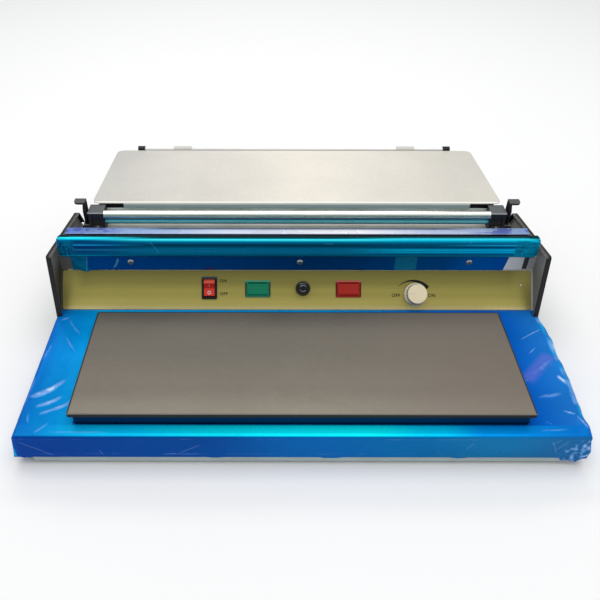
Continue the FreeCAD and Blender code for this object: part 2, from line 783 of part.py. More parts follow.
def make_knob():
    """Dimmer behind the panel, its shaft, and the ribbed knob on the shaft."""
    panel_back = -fascia_thickness - steel
    can = cylinder(dimmer_radius, (0, 0, panel_back - dimmer_depth), (0, 0, panel_back))
    bush = cylinder(bush_radius, (0, 0, panel_back - 1), (0, 0, bush_height))
    bore = cylinder(shaft_radius + running, (0, 0, -dimmer_depth), (0, 0, bush_height + 1))
    dimmer = can.fuse(bush).cut(bore)
    lug_z = panel_back - dimmer_depth / 2
    lugs = [box(side * 6 - 1.2, side * 6 + 1.2, -dimmer_radius - 6, -dimmer_radius + 2, lug_z - tag_half,
                lug_z + tag_half) for side in (-1, 0, 1)]
    corner = nut_across_corners / 2
    nut_hex = [(corner * math.cos(math.radians(60 * i)), corner * math.sin(math.radians(60 * i)))
               for i in range(6)]
    nut = along_z(nut_hex, 0.3, 0, nut_height).cut(cylinder(shaft_radius + 1, (0, 0, -1),
                                                            (0, 0, nut_height + 1)))
    parts["dimmer"] = on_panel(joined([dimmer, nut] + lugs), knob_x, knob_up)
    shaft = cylinder(shaft_radius, (0, 0, -dimmer_depth + 1), (0, 0, knob_height - knob_cover))
    parts["dimmer_shaft"] = on_panel(shaft, knob_x, knob_up)
    shoulder = knob_gap + knob_skirt
    outline = [(0, knob_gap), (knob_base_radius, knob_gap), (knob_base_radius, shoulder),
               (knob_face_radius + 0.8, shoulder + 1.2), (knob_face_radius, knob_height), (0, knob_height)]
    wire = rounded_wire(outline, [0, 0.8, 0.6, 1.2, 1.2, 0], lambda p: V(p.x, 0, p.y))
    knob = Part.Face(wire).revolve(V(0, 0, 0), V(0, 0, 1), 360)
    for i in range(knob_ribs):
        groove = Part.makeCylinder(knob_rib_depth, knob_height, V(knob_face_radius + 0.75, 0, shoulder + 1.6))
        groove.rotate(V(0, 0, 0), V(0, 0, 1), (i + 0.5) * 360 / knob_ribs)
        knob = knob.cut(groove)
    recess = cylinder(knob_recess_radius, (0, 0, 0), (0, 0, bush_height + 1.0))
    knob = knob.cut(recess).cut(cylinder(shaft_radius, (0, 0, 0), (0, 0, knob_height - knob_cover)))
    pointer = box(-knob_face_radius + 0.8, -shaft_radius, -pointer_half, pointer_half,
                  knob_height - pointer_depth, knob_height + 1)
    parts["heat_knob"] = on_panel(knob.cut(pointer), knob_x, knob_up)


def make_hot_plate():
    """Heated plate: open steel base, insulation, flat element with its cut-out, plate and non-stick cover."""
    w = plate_half
    ins = plate_overhang
    outer = along_z(rectangle(-w + ins, w - ins, plate_front + ins, plate_back - ins), 3.0,
                    deck_height, base_top)
    inner = along_z(rectangle(-w + ins + steel, w - ins - steel, plate_front + ins + steel,
                              plate_back - ins - steel), 1.8, deck_height + steel, base_top + 1)
    tray = outer.cut(inner)
    m = element_margin
    floor = deck_height + steel
    element_low = base_top - element_thickness
    pad_low = element_low - pad_thickness
    pad = box(-w + m, w - m, plate_front + m, plate_back - m, pad_low, element_low)
    well = cylinder(cutout_radius + 1, (0, (plate_front + plate_back) / 2, pad_low - 1),
                    (0, (plate_front + plate_back) / 2, element_low + 1))
    pad = pad.cut(well)
    for x in (-w * 0.5, w * 0.5):
        rib = box(x - support_rib / 2, x + support_rib / 2, plate_front + m, plate_back - m,
                  floor - steel / 2, pad_low)
        tray = tray.fuse(rib)
    e = m + element_inset
    element = box(-w + e, w - e, plate_front + e, plate_back - e, element_low, base_top)
    plate = along_z(rectangle(-w, w, plate_front, plate_back), plate_corner, base_top,
                    base_top + plate_thickness)
    top = base_top + plate_thickness
    edges = [edge for edge in plate.Edges if edge.BoundBox.ZMin > top - 0.01]
    r = plate_edge_round
    plate = plate.makeFillet(r, edges)
    cover = along_z(rectangle(-w + r, w - r, plate_front + r, plate_back - r), plate_corner - r, top,
                    top + cover_thickness)
    screws = []
    tip = base_top + plate_thickness / 2
    for x in (-w + plate_screw_inset, w - plate_screw_inset):
        for y in (plate_front + plate_screw_inset, plate_back - plate_screw_inset):
            hole = cylinder(plate_screw_radius, (x, y, deck_height - 3), (x, y, tip))
            tray = tray.cut(hole)
            plate = plate.cut(hole)
            parts["deck_shell"] = parts["deck_shell"].cut(hole)
            screws.append(pan_head_screw((x, y, tip), (x, y, deck_height - steel), plate_screw_radius,
                                         plate_screw_head, plate_screw_head_height))
    can = cylinder(cutout_radius, (0, (plate_front + plate_back) / 2, element_low - cutout_height),
                   (0, (plate_front + plate_back) / 2, element_low + 0.5))
    parts["hot_plate_base"] = tray.removeSplitter()
    parts["insulation_pad"] = pad
    parts["heating_element"] = joined([element, can])
    parts["hot_plate"] = plate
    parts["plate_cover"] = cover
    parts["plate_screws"] = Part.makeCompound(screws)


def screw_places():
    """X of the three screws through the bracket."""
    return [bracket_screw_shift + i * bracket_screw_pitch for i in (-1, 0, 1)]


def make_cutter():
    """Rounded beam on a steel bracket, with the hot bar in the bracket's channel behind it."""
    bracket = box(-bracket_half, bracket_half, bracket_y, bracket_y + bracket_steel, bracket_bottom,
                  bracket_top)
    screws = []
    for x in screw_places():
        bracket = bracket.cut(cylinder(screw_radius, (x, bracket_y - 1, bracket_screw_z),
                                       (x, bracket_y + 3, bracket_screw_z)))
        screws.append(pan_head_screw((x, bracket_y + 6, bracket_screw_z), (x, bracket_y, bracket_screw_z),
                                     screw_radius, screw_head_radius, screw_head_height))
    channel_front = bracket_y + bracket_steel
    line = [(channel_front, channel_leg_top), (channel_front, channel_bottom), (strip_front, channel_bottom),
            (strip_front, channel_leg_top - steel)]
    channel = sheet_x(line, steel, 0.8, -bracket_half, bracket_half)
    parts["cutter_bracket"] = joined([bracket, channel])
    parts["bracket_screws"] = Part.makeCompound(screws)
    outline = rectangle(beam_front, beam_back, beam_bottom, beam_bottom + beam_tall)
    rounds = [beam_round, 1.5, beam_round, beam_round]
    body = along_x(outline, rounds, -beam_half + beam_cap, beam_half - beam_cap)
    for height in groove_heights:
        z = beam_bottom + height
        body = body.cut(box(-beam_half, beam_half, beam_front - 1, beam_front + groove_depth,
                            z - groove_width / 2, z + groove_width / 2))
    parts["cutter_beam"] = body
    grown = rectangle(beam_front - beam_cap_grow, beam_back, beam_bottom - beam_cap_grow,
                      beam_bottom + beam_tall + beam_cap_grow)
    cap = along_x(grown, rounds, beam_half - beam_cap, beam_half)
    tip_edges = [e for e in cap.Edges if e.BoundBox.XMin > beam_half - 0.01]
    cap = cap.makeFillet(1.4, tip_edges)
    parts["beam_cap_right"] = cap
    parts["beam_cap_left"] = mirrored(cap)
    bar_low = channel_bottom + steel
    insulator = box(-hot_bar_half, hot_bar_half, insulator_front, insulator_front + insulator_depth,
                    bar_low, bar_low + insulator_height)
    parts["cutter_insulator"] = insulator
    bar_front = insulator_front + (insulator_depth - hot_bar_depth) / 2
    bar = along_x(rectangle(bar_front, bar_front + hot_bar_depth, bar_low + insulator_height,
                            bar_low + insulator_height + hot_bar_height),
                  [0, 0, hot_bar_round, hot_bar_round], -hot_bar_half, hot_bar_half)
    parts["cutter_hot_bar"] = bar


def bent_tube(points, radius):
    """Round lead along straight runs joined by tangent arcs, each as large as its two runs allow."""
    pts = [V(*p) for p in points]
    edges = []
    start = pts[0]
    for i in range(1, len(pts) - 1):
        before = pts[i - 1].sub(pts[i])
        after = pts[i + 1].sub(pts[i])
        shorter = min(before.Length, after.Length)
        turn = math.pi - before.getAngle(after)
        reach = 0.45 * shorter
        before.normalize()
        after.normalize()
        arc_radius = reach / math.tan(turn / 2)
        bisector = before.add(after)
        bisector.normalize()
        centre = pts[i].add(bisector * (arc_radius / math.cos(turn / 2)))
        first = pts[i].add(before * reach)
        last = pts[i].add(after * reach)
        edges.append(Part.makeLine(start, first))
        edges.append(Part.Arc(first, centre.sub(bisector * arc_radius), last).toShape())
        start = last
    edges.append(Part.makeLine(start, pts[-1]))
    section = Part.Wire(Part.makeCircle(radius, pts[0], pts[1].sub(pts[0])))
    return Part.Wire(edges).makePipeShell([section], True, False, 0)


def make_wiring():
    """Lead from the hot bar's end down to a screw terminal block on the pan floor."""
    x0 = block_x - block_length / 2
    x1 = block_x + block_length / 2
    shoulder = pan_floor + block_height * block_base
    foot = box(x0, x1, block_y - block_width / 2, block_y + block_width / 2, pan_floor, shoulder)
    ridge = box(x0, x1, block_y - block_width / 4, block_y + block_width / 4, shoulder - 1,
                pan_floor + block_height)
    block = joined([foot, ridge])
    for i in range(1, block_poles):
        x = x0 + i * block_length / block_poles
        block = block.cut(box(x - block_slot_half, x + block_slot_half, block_y - block_width,
                              block_y + block_width, pan_floor + block_height * block_base / 2,
                              pan_floor + block_height + 1))
    parts["terminal_block"] = block
    parts["cutter_lead"] = bent_tube(lead_points, lead_radius)


def frame_outline():
    """Side view of a bay frame: low front shelf, tall rear part under the lid."""
    rise_y = frame_flange_back + 1.5
    shelf_z = frame_flange_z - frame_steel
    return [(frame_front, pan_floor), (frame_back, pan_floor), (frame_back, rear_tie_top - 2),
            (frame_back - 12, lid_under_z(lid_back_y) - frame_clear - 6),
            (rise_y, lid_under_z(rise_y) - frame_clear), (rise_y, shelf_z), (frame_front, shelf_z)]


def make_bay_frames():
    """Side frames of the film bay with a foot on the pan, a front shelf and bearing holes."""
    points = frame_outline()
    web = along_x(points, [0, 0, 4.0, 4.0, 3.0, 1.0, 2.0], bay_half, bay_half + frame_steel)
    foot = box(bay_half, bay_half + frame_foot, frame_front, frame_back, pan_floor,
               pan_floor + frame_steel)
    shelf = box(bay_half, housing_outer, frame_front, frame_flange_back, frame_flange_z - frame_steel,
                frame_flange_z)
    frame = joined([web, foot, shelf])
    bushes = []
    for y in bed_roller_y:
        hole = cylinder(bed_bush_radius, (bay_half - 1, y, bed_roller_z),
                        (bay_half + frame_steel + 1, y, bed_roller_z))
        frame = frame.cut(hole)
        flange = cylinder(bed_bush_flange, (bay_half - bed_bush_flange_thickness, y, bed_roller_z),
                          (bay_half, y, bed_roller_z))
        bush_end = bay_half + frame_steel + bed_bush_end
        tube = cylinder(bed_bush_radius, (bay_half - 1, y, bed_roller_z), (bush_end, y, bed_roller_z))
        bush = flange.fuse(tube).cut(cylinder(bed_journal_radius + running,
                                              (bay_half - 3, y, bed_roller_z),
                                              (bush_end + 1, y, bed_roller_z)))
        bushes.append(bush.removeSplitter())
        bushes.append(mirrored(bush.removeSplitter()))
    parts["bay_frame_right"] = frame
    parts["bay_frame_left"] = mirrored(frame)
    parts["bed_bushes"] = Part.makeCompound(bushes)


def make_ties():
    """Cross members between the bay frames: under the guide rollers, under the lid, and at the rear."""
    parts["roller_tie"] = box(-housing_outer, housing_outer, roller_tie_front, roller_tie_back,
                              frame_flange_z, frame_flange_z + tie_thickness)
    line = [(front_tie_front, front_tie_top - front_tie_drop), (front_tie_front, front_tie_top),
            (front_tie_back, front_tie_top)]
    parts["front_tie"] = sheet_x(line, -steel, 0.8, -bay_half, bay_half)
    tie_front = rod_y - rear_tie_reach
    line = [(tie_front, rear_tie_top - rear_tie_drop), (tie_front, rear_tie_top),
            (frame_back, rear_tie_top), (frame_back, rear_tie_top - rear_tie_drop)]
    tie = sheet_x(line, -frame_steel, 0.8, -bay_half, bay_half)
    for side in (-1, 1):
        x0 = min(side * (rod_half - ear_width), side * rod_half)
        x1 = max(side * (rod_half - ear_width), side * rod_half)
        stem = box(x0, x1, rod_y - ear_round, rod_y + ear_round, rear_tie_top - 1, rod_z)
        lobe = cylinder(ear_round, (x0, rod_y, rod_z), (x1, rod_y, rod_z))
        hole = cylinder(rod_radius, (x0 - 1, rod_y, rod_z), (x1 + 1, rod_y, rod_z))
        tie = joined([tie, stem, lobe]).cut(hole)
    parts["rear_tie"] = tie


def roller_bores(shape):
    """Cuts the blind bearing holes for both guide rollers into a right-hand housing."""
    for y, z, radius in ((upper_roller_y, upper_roller_z, upper_journal_radius),
                         (lower_roller_y, lower_roller_z, lower_journal_radius)):
        shape = shape.cut(cylinder(radius + running, (housing_inner - 1, y, z),
                                   (housing_inner + journal_length + seat_gap, y, z)))
    return shape


def make_roller_housings():
    """Moulded end housings of the guide rollers, each with two lugs and a pin for its latch lever."""
    outline = [(housing_front, housing_bottom), (housing_back, housing_bottom), (housing_back, housing_top),
               (housing_front, housing_top)]
    body = along_x(outline, [0, 0, housing_corner, housing_corner], housing_inner, housing_outer)
    recess = box(housing_inner + 4, housing_outer - 4, housing_front - 1, housing_front + housing_recess,
                 housing_bottom + 5, housing_top - 5.5)
    body = roller_bores(body.cut(recess))
    lugs = []
    for y in (housing_front, housing_back - lug_thickness):
        lug = box(housing_outer - 0.5, latch_pin_x, y, y + lug_thickness, latch_pin_z - latch_eye,
                  latch_pin_z + latch_eye)
        nose = cylinder(latch_eye, (latch_pin_x, y, latch_pin_z),
                        (latch_pin_x, y + lug_thickness, latch_pin_z))
        lugs.append(lug.fuse(nose))
    pin = cylinder(latch_pin_radius, (latch_pin_x, housing_front, latch_pin_z),
                   (latch_pin_x, housing_back, latch_pin_z))
    housing = joined([body] + lugs + [pin])
    parts["roller_housing_right"] = housing
    parts["roller_housing_left"] = mirrored(housing)


def make_latches():
    """Latch lever: an eye on the pin, an upright blade with a short tail, and a tab turned outward."""
    inner = latch_pin_x - latch_eye
    y0 = housing_front + lug_thickness + latch_gap
    y1 = housing_back - lug_thickness - latch_gap
    eye = cylinder(latch_eye, (latch_pin_x, y0, latch_pin_z), (latch_pin_x, y1, latch_pin_z))
    tail_z = latch_pin_z - latch_tail
    blade_points = [(y0, tail_z), (y1, tail_z), (y1, latch_top), (y1 - tab_depth, latch_top),
                    (y0, latch_top - latch_slope)]
    blade = along_x(blade_points, [1.0, 1.0, 0, 2.0, 3.0], inner, inner + latch_steel)
    tab_points = [(inner, y1 - tab_depth), (inner + tab_reach, y1 - tab_depth), (inner + tab_reach, y1),
                  (inner, y1)]
    tab = along_z(tab_points, [0, tab_corner, 1.0, 0], latch_top - latch_steel, latch_top)
    latch = joined([eye, blade, tab])
    latch = latch.cut(cylinder(latch_pin_radius + running, (latch_pin_x, y0 - 1, latch_pin_z),
                               (latch_pin_x, y1 + 1, latch_pin_z)))
    parts["latch_right"] = latch
    parts["latch_left"] = mirrored(latch)


def turned_roller(half_length, radius, journal_radius, journal, y, z):
    """Roller along X with a journal on each end."""
    body = cylinder(radius, (-half_length, y, z), (half_length, y, z))
    shaft = cylinder(journal_radius, (-half_length - journal, y, z), (half_length + journal, y, z))
    return joined([body, shaft])


def make_rollers():
    """Two film guide rollers in the housings and two bed rollers under the film roll."""
    guide_half = housing_inner - seat_gap
    parts["upper_roller"] = turned_roller(guide_half, upper_roller_radius, upper_journal_radius,
                                          journal_length, upper_roller_y, upper_roller_z)
    parts["lower_roller"] = turned_roller(guide_half, lower_roller_radius, lower_journal_radius,
                                          journal_length, lower_roller_y, lower_roller_z)
    bed_half = bay_half - bed_bush_flange_thickness - seat_gap
    journal = bed_bush_flange_thickness + frame_steel + bed_bush_end + 0.5
    for name, y in zip(("front", "rear"), bed_roller_y):
        parts["bed_roller_" + name] = turned_roller(bed_half, bed_roller_radius, bed_journal_radius,
                                                    journal, y, bed_roller_z)


def make_lid():
    """Lid sheet with rounded corners, a front lip and side lips, and two hinge straps under its rear edge."""
    skin = along_z(rectangle(-lid_half, lid_half, 0, lid_length),
                   [lid_corner, lid_corner, lid_corner, lid_corner], -lid_steel, 0)
    lip = box(-lid_lip_half, lid_lip_half, 0, lid_steel, -lid_lip, -lid_steel / 2)
    sides = []
    for side in (-1, 1):
        x0 = side * (lid_half - lid_steel)
        x1 = side * lid_half
        sides.append(box(min(x0, x1), max(x0, x1), lid_corner, lid_length - lid_corner, -lid_side_lip,
                         -lid_steel / 2))
    parts["top_plate"] = on_lid(joined([skin, lip] + sides))
    straps = []
    for side in (-1, 1):
        x0 = side * strap_x - strap_width / 2
        x1 = side * strap_x + strap_width / 2
        leaf = on_lid(box(x0, x1, lid_length - strap_reach, lid_length + 1.5, -lid_steel - strap_steel,
                          -lid_steel))
        ring = cylinder(strap_round, (x0, rod_y, rod_z), (x1, rod_y, rod_z))
        hole = cylinder(rod_radius + running, (x0 - 1, rod_y, rod_z), (x1 + 1, rod_y, rod_z))
        straps.append(joined([leaf, ring]).cut(hole))
    parts["hinge_straps"] = Part.makeCompound(straps)
    bumpers = []
    for side in (-1, 1):
        inner = lid_lip_half + bumper_gap
        x0 = min(side * inner, side * (inner + bumper_width))
        x1 = max(side * inner, side * (inner + bumper_width))
        top0 = lid_under_z(front_tie_front)
        top1 = lid_under_z(front_tie_front + bumper_depth)
        points = [(front_tie_front, front_tie_top), (front_tie_front + bumper_depth, front_tie_top),
                  (front_tie_front + bumper_depth, top1), (front_tie_front, top0)]
        bumpers.append(along_x(points, [0, 0, 0, 0], x0, x1))
    parts["lid_bumpers"] = Part.makeCompound(bumpers)


def make_hinge():
    """Hinge rod through the two ears of the rear tie."""
    parts["hinge_rod"] = cylinder(rod_radius, (-rod_half, rod_y, rod_z), (rod_half, rod_y, rod_z))


make_base_pan()
make_feet()
make_deck_shell()
make_cheeks()
make_rear_wall()
make_cord_gland()
make_partition()
make_panel()
make_rocker()
make_lamps()
make_fuse()
make_knob()
make_hot_plate()
make_cutter()
make_wiring()
make_bay_frames()
make_ties()
make_roller_housings()
make_latches()
make_rollers()
make_lid()
make_hinge()

os.makedirs("parts", exist_ok=True)
for name, shape in parts.items():
    if not shape.isValid():
        print("not valid:", name)
    shape.exportStep("parts/" + name + ".step")
whole = Part.makeCompound(list(parts.values())).BoundBox
print(len(parts), "nodes, size", round(whole.XLength, 3), round(whole.YLength, 3), round(whole.ZLength, 3))
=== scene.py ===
import json
import math

import bpy
import bmesh
from mathutils import Matrix, Vector, noise


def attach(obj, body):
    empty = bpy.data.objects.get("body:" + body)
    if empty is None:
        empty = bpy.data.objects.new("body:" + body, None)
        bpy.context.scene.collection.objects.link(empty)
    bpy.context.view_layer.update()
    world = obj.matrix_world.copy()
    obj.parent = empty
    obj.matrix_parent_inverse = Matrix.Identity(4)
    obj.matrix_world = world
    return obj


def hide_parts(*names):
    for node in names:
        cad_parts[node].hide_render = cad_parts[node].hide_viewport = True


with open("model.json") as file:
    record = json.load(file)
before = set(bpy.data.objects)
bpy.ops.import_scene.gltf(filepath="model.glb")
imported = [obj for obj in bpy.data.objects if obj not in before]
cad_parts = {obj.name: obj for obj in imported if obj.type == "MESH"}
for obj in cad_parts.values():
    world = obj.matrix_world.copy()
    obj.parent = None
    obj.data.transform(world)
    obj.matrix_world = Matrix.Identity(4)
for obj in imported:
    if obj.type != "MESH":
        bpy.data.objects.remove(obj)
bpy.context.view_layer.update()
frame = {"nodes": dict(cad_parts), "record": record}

MM = 0.001
KNOB_X, KNOB_UP, KNOB_FACE = 146.5, 19.5, 14.0

# Panel plane, as the CAD lays it out
PANEL_FOOT = Vector((0.0, -0.046, 0.047))
PANEL_LEAN = math.atan2(32.5, 37.0)
PANEL_UP = Vector((0.0, math.sin(PANEL_LEAN), math.cos(PANEL_LEAN)))
PANEL_OUT = Vector((0.0, -math.cos(PANEL_LEAN), math.sin(PANEL_LEAN)))
PANEL = Matrix((
    (1.0, PANEL_UP.x, PANEL_OUT.x, PANEL_FOOT.x),
    (0.0, PANEL_UP.y, PANEL_OUT.y, PANEL_FOOT.y),
    (0.0, PANEL_UP.z, PANEL_OUT.z, PANEL_FOOT.z),
    (0.0, 0.0, 0.0, 1.0),
))


# Shader building

class Shader:
    """A node material in object coordinates, in metres."""

    def __init__(self, name, color, roughness=0.5, **constants):
        self.material = bpy.data.materials.new(name)
        self.material.use_nodes = True
        self.tree = self.material.node_tree
        self.bsdf = self.tree.nodes["Principled BSDF"]
        coords = self.tree.nodes.new("ShaderNodeTexCoord")
        self.place = coords.outputs["Object"]
        self.normal = coords.outputs["Normal"]
        self.axes = self.node("ShaderNodeSeparateXYZ", {0: self.place}).outputs
        self.faces = self.node("ShaderNodeSeparateXYZ", {0: self.normal}).outputs
        self.bsdf.inputs["Base Color"].default_value = (*color, 1.0)
        self.bsdf.inputs["Roughness"].default_value = roughness
        for key, value in constants.items():
            self.bsdf.inputs[key.replace("_", " ")].default_value = value

    def node(self, kind, inputs=None, **settings):
        made = self.tree.nodes.new(kind)
        for key, value in settings.items():
            setattr(made, key, value)
        for key, value in (inputs or {}).items():
            self.feed(made.inputs[key], value)
        return made

    def feed(self, socket, value):
        if isinstance(value, bpy.types.NodeSocket):
            self.tree.links.new(value, socket)
        elif socket.type == "RGBA" and len(value) == 3:
            socket.default_value = (*value, 1.0)
        else:
            socket.default_value = value

    def set(self, key, value):
        self.feed(self.bsdf.inputs[key], value)

    def upward(self):
        """How far the surface looks up, from minus one to one, however far its piece has turned."""
        geometry = self.node("ShaderNodeNewGeometry")
        return self.node("ShaderNodeSeparateXYZ", {0: geometry.outputs["Normal"]}).outputs[2]

    def stretched(self, stretch):
        return self.node("ShaderNodeMapping", {"Vector": self.place, "Scale": stretch}).outputs[0]

    def noise(self, scale, stretch=(1, 1, 1), detail=4.0, rough=0.55, distortion=0.0):
        return self.node("ShaderNodeTexNoise", {
            "Vector": self.stretched(stretch), "Scale": scale, "Detail": detail,
            "Roughness": rough, "Distortion": distortion}).outputs["Fac"]

    def cells(self, scale, stretch=(1, 1, 1), feature="F1"):
        return self.node("ShaderNodeTexVoronoi", {"Vector": self.stretched(stretch), "Scale": scale},
                         feature=feature).outputs["Distance"]

    def stored(self, name):
        """A value that the mesh holds at each of its points."""
        return self.node("ShaderNodeAttribute", attribute_name=name).outputs["Fac"]

    def math(self, operation, a, b=0.0, c=0.0):
        made = self.node("ShaderNodeMath", operation=operation)
        for index, value in enumerate((a, b, c)[:len(made.inputs)]):
            self.feed(made.inputs[index], value)
        return made.outputs[0]

    def rise(self, value, low, high, to_low=0.0, to_high=1.0):
        return self.node("ShaderNodeMapRange", {
            "Value": value, "From Min": low, "From Max": high, "To Min": to_low, "To Max": to_high,
        }, interpolation_type="SMOOTHSTEP").outputs[0]

    def band(self, value, low, high, soft):
        """One between low and high, fading over soft at each side."""
        return self.math("MULTIPLY", self.rise(value, low - soft, low + soft),
                         self.rise(value, high - soft, high + soft, 1.0, 0.0))

    def streak(self, u, v, start, end, width):
        """One along a straight scratch between two places on the plane of u and v."""
        (au, av), (bu, bv) = start, end
        length = math.hypot(bu - au, bv - av)
        cu, cv = (bu - au) / length, (bv - av) / length
        along = self.math("MULTIPLY_ADD", u, cu, self.math("MULTIPLY_ADD", v, cv, -au * cu - av * cv))
        across = self.math("MULTIPLY_ADD", v, cu, self.math("MULTIPLY_ADD", u, -cv, au * cv - av * cu))
        return self.both(self.band(across, -width, width, 0.7 * width),
                         self.band(along, 0.08 * length, 0.92 * length, 0.08 * length))

    def both(self, *values):
        """Product of several masks."""
        result = values[0]
        for value in values[1:]:
            result = self.math("MULTIPLY", result, value)
        return result

    def ramp(self, value, low, high, stops):
        """Colours along a value; each stop is a place on it and a colour."""
        span = high - low
        share = self.node("ShaderNodeMapRange", {"Value": value, "From Min": low, "From Max": high}).outputs[0]
        made = self.node("ShaderNodeValToRGB", {"Fac": share})
        elements = made.color_ramp.elements
        made.color_ramp.interpolation = "EASE"
        for end, (place, color) in ((0, stops[0]), (1, stops[-1])):
            elements[end].position = (place - low) / span
            elements[end].color = (*color, 1.0)
        for place, color in stops[1:-1]:
            elements.new((place - low) / span).color = (*color, 1.0)
        return made.outputs[0]

    def mix(self, factor, a, b):
        made = self.node("ShaderNodeMix", data_type="RGBA")
        self.feed(made.inputs[0], factor)
        self.feed(made.inputs[6], a)
        self.feed(made.inputs[7], b)
        return made.outputs[2]

    def shade(self, color, factor, low, high):
        """A colour made darker or lighter by a factor that runs from low to high."""
        value = self.rise(factor, 0.3, 0.7, low, high)
        return self.node("ShaderNodeHueSaturation", {"Color": color, "Value": value}).outputs[0]

    def tone(self, factor, a, b):
        self.set("Base Color", self.mix(factor, a, b))

    def grain(self, factor, low, high):
        self.set("Roughness", self.rise(factor, 0.3, 0.7, low, high))

    def bump(self, height, depth, strength=1.0):
        made = self.node("ShaderNodeBump", {"Height": height, "Distance": depth, "Strength": strength})
        self.set("Normal", made.outputs[0])


ALONG_X = (1.0, 60.0, 60.0)
LOW_GLOSS = {"Specular_IOR_Level": 0.25}
LENS_PITCH_ACROSS, LENS_PITCH_UP = 0.0016, 0.0032
FILM_THICKNESS = 0.00012


def brushed(name, color, low, high, stretch=ALONG_X, scale=30.0, contrast=0.25, depth=0.00006, **constants):
    """Brushed metal with streaks along one axis and cloudy dulling."""
    s = Shader(name, color, **{"Metallic": 1.0, **constants})
    streaks = s.noise(scale, stretch, 5.0, 0.6)
    clouds = s.noise(14.0, (1, 1, 1), 3.0)
    dark = tuple(c * (1 - contrast) for c in color)
    s.tone(s.rise(s.math("ADD", streaks, s.both(clouds, 0.4)), 0.45, 0.95), dark, color)
    s.grain(s.math("ADD", s.both(streaks, 0.6), s.both(clouds, 0.4)), low, high)
    s.bump(streaks, depth)
    return s


def painted(name, color, low, high, hammered=0.0, speck=0.15, **constants):
    """Paint with a fine orange peel, or a hammered finish, and rubbed clouds."""
    s = Shader(name, color, **constants)
    peel = s.noise(900.0, (1, 1, 1), 2.0)
    s.clouds = s.noise(18.0, (1, 1, 1), 5.0)
    dark = tuple(c * (1 - speck) for c in color)
    light = tuple(min(1.0, c * (1 + speck)) for c in color)
    s.tone(s.rise(s.clouds, 0.35, 0.65), dark, light)
    s.grain(s.clouds, low, high)
    if hammered:
        s.bump(s.math("ADD", s.cells(420.0), s.both(peel, 0.3)), hammered)
    else:
        s.bump(peel, 0.00003)
    return s


def moulded(name, color, low, high, **constants):
    """Moulded plastic with a fine spark-eroded grain."""
    s = Shader(name, color, **constants)
    fine = s.noise(2600.0, (1, 1, 1), 2.0)
    clouds = s.noise(60.0, (1, 1, 1), 4.0)
    s.tone(s.rise(clouds, 0.3, 0.7), tuple(c * 0.86 for c in color), color)
    s.grain(clouds, low, high)
    s.bump(fine, 0.00003)
    return s


def film(name, color, **constants):
    """Blue protective film on steel: soft clouds in its tint and faint blisters."""
    s = Shader(name, (0.0, 0.2, 0.6), 0.25, **{"Metallic": 0.12, "Specular_IOR_Level": 0.02, **constants})
    s.color = color(s) if callable(color) else s.mix(0.0, color, color)
    s.clouds = s.noise(9.0, (0.6, 1.6, 1.6), 3.0, 0.5, 0.3)
    s.color = s.shade(s.color, s.clouds, 0.92, 1.08)
    s.set("Base Color", s.color)
    s.grain(s.noise(40.0, (1, 1, 1), 2.0, 0.5), 0.25, 0.30)
    s.bump(s.noise(70.0, (1, 1, 1), 1.0, 0.4), 0.00004)
    return s


def lay(s, mask, color):
    """Puts another colour over a film where the mask is one."""
    s.color = s.mix(mask, s.color, color)
    s.set("Base Color", s.color)


def toward_operator(s, limit=-0.7):
    """One on faces that look to the front."""
    return s.rise(s.faces[1], limit - 0.1, limit + 0.1, 1.0, 0.0)


def lamp_frame(s, side, top, bottom):
    """Lamp frame with a painted highlight along its upper bar and a fainter one along its lower bar."""
    lower = s.mix(s.rise(s.axes[2], 0.0615, 0.0609), side, bottom)
    return s.mix(s.rise(s.axes[2], 0.0732, 0.0737), lower, top)


def make_lens(name, color, dark):
    """Coloured lamp lens with a moulded grid under its surface."""
    s = Shader(name, color, 0.12, Subsurface_Weight=0.05, **LOW_GLOSS)
    across = s.math("SINE", s.both(s.axes[0], 2 * math.pi / LENS_PITCH_ACROSS))
    rise = s.math("SINE", s.both(s.axes[2], 2 * math.pi / LENS_PITCH_UP))
    grid = s.math("MAXIMUM", s.rise(across, 0.55, 0.95), s.rise(rise, 0.8, 0.98))
    lens = s.mix(s.both(grid, 0.45), color, dark)
    # Painted shade: faces that look up, under the frame's upper bar, are dark.
    lens = s.mix(s.rise(s.faces[2], 0.78, 0.90, 0.0, 0.85), lens, dark)
    s.set("Base Color", lens)
    s.grain(s.noise(500.0), 0.10, 0.2)
    s.bump(grid, 0.00008)
    return s


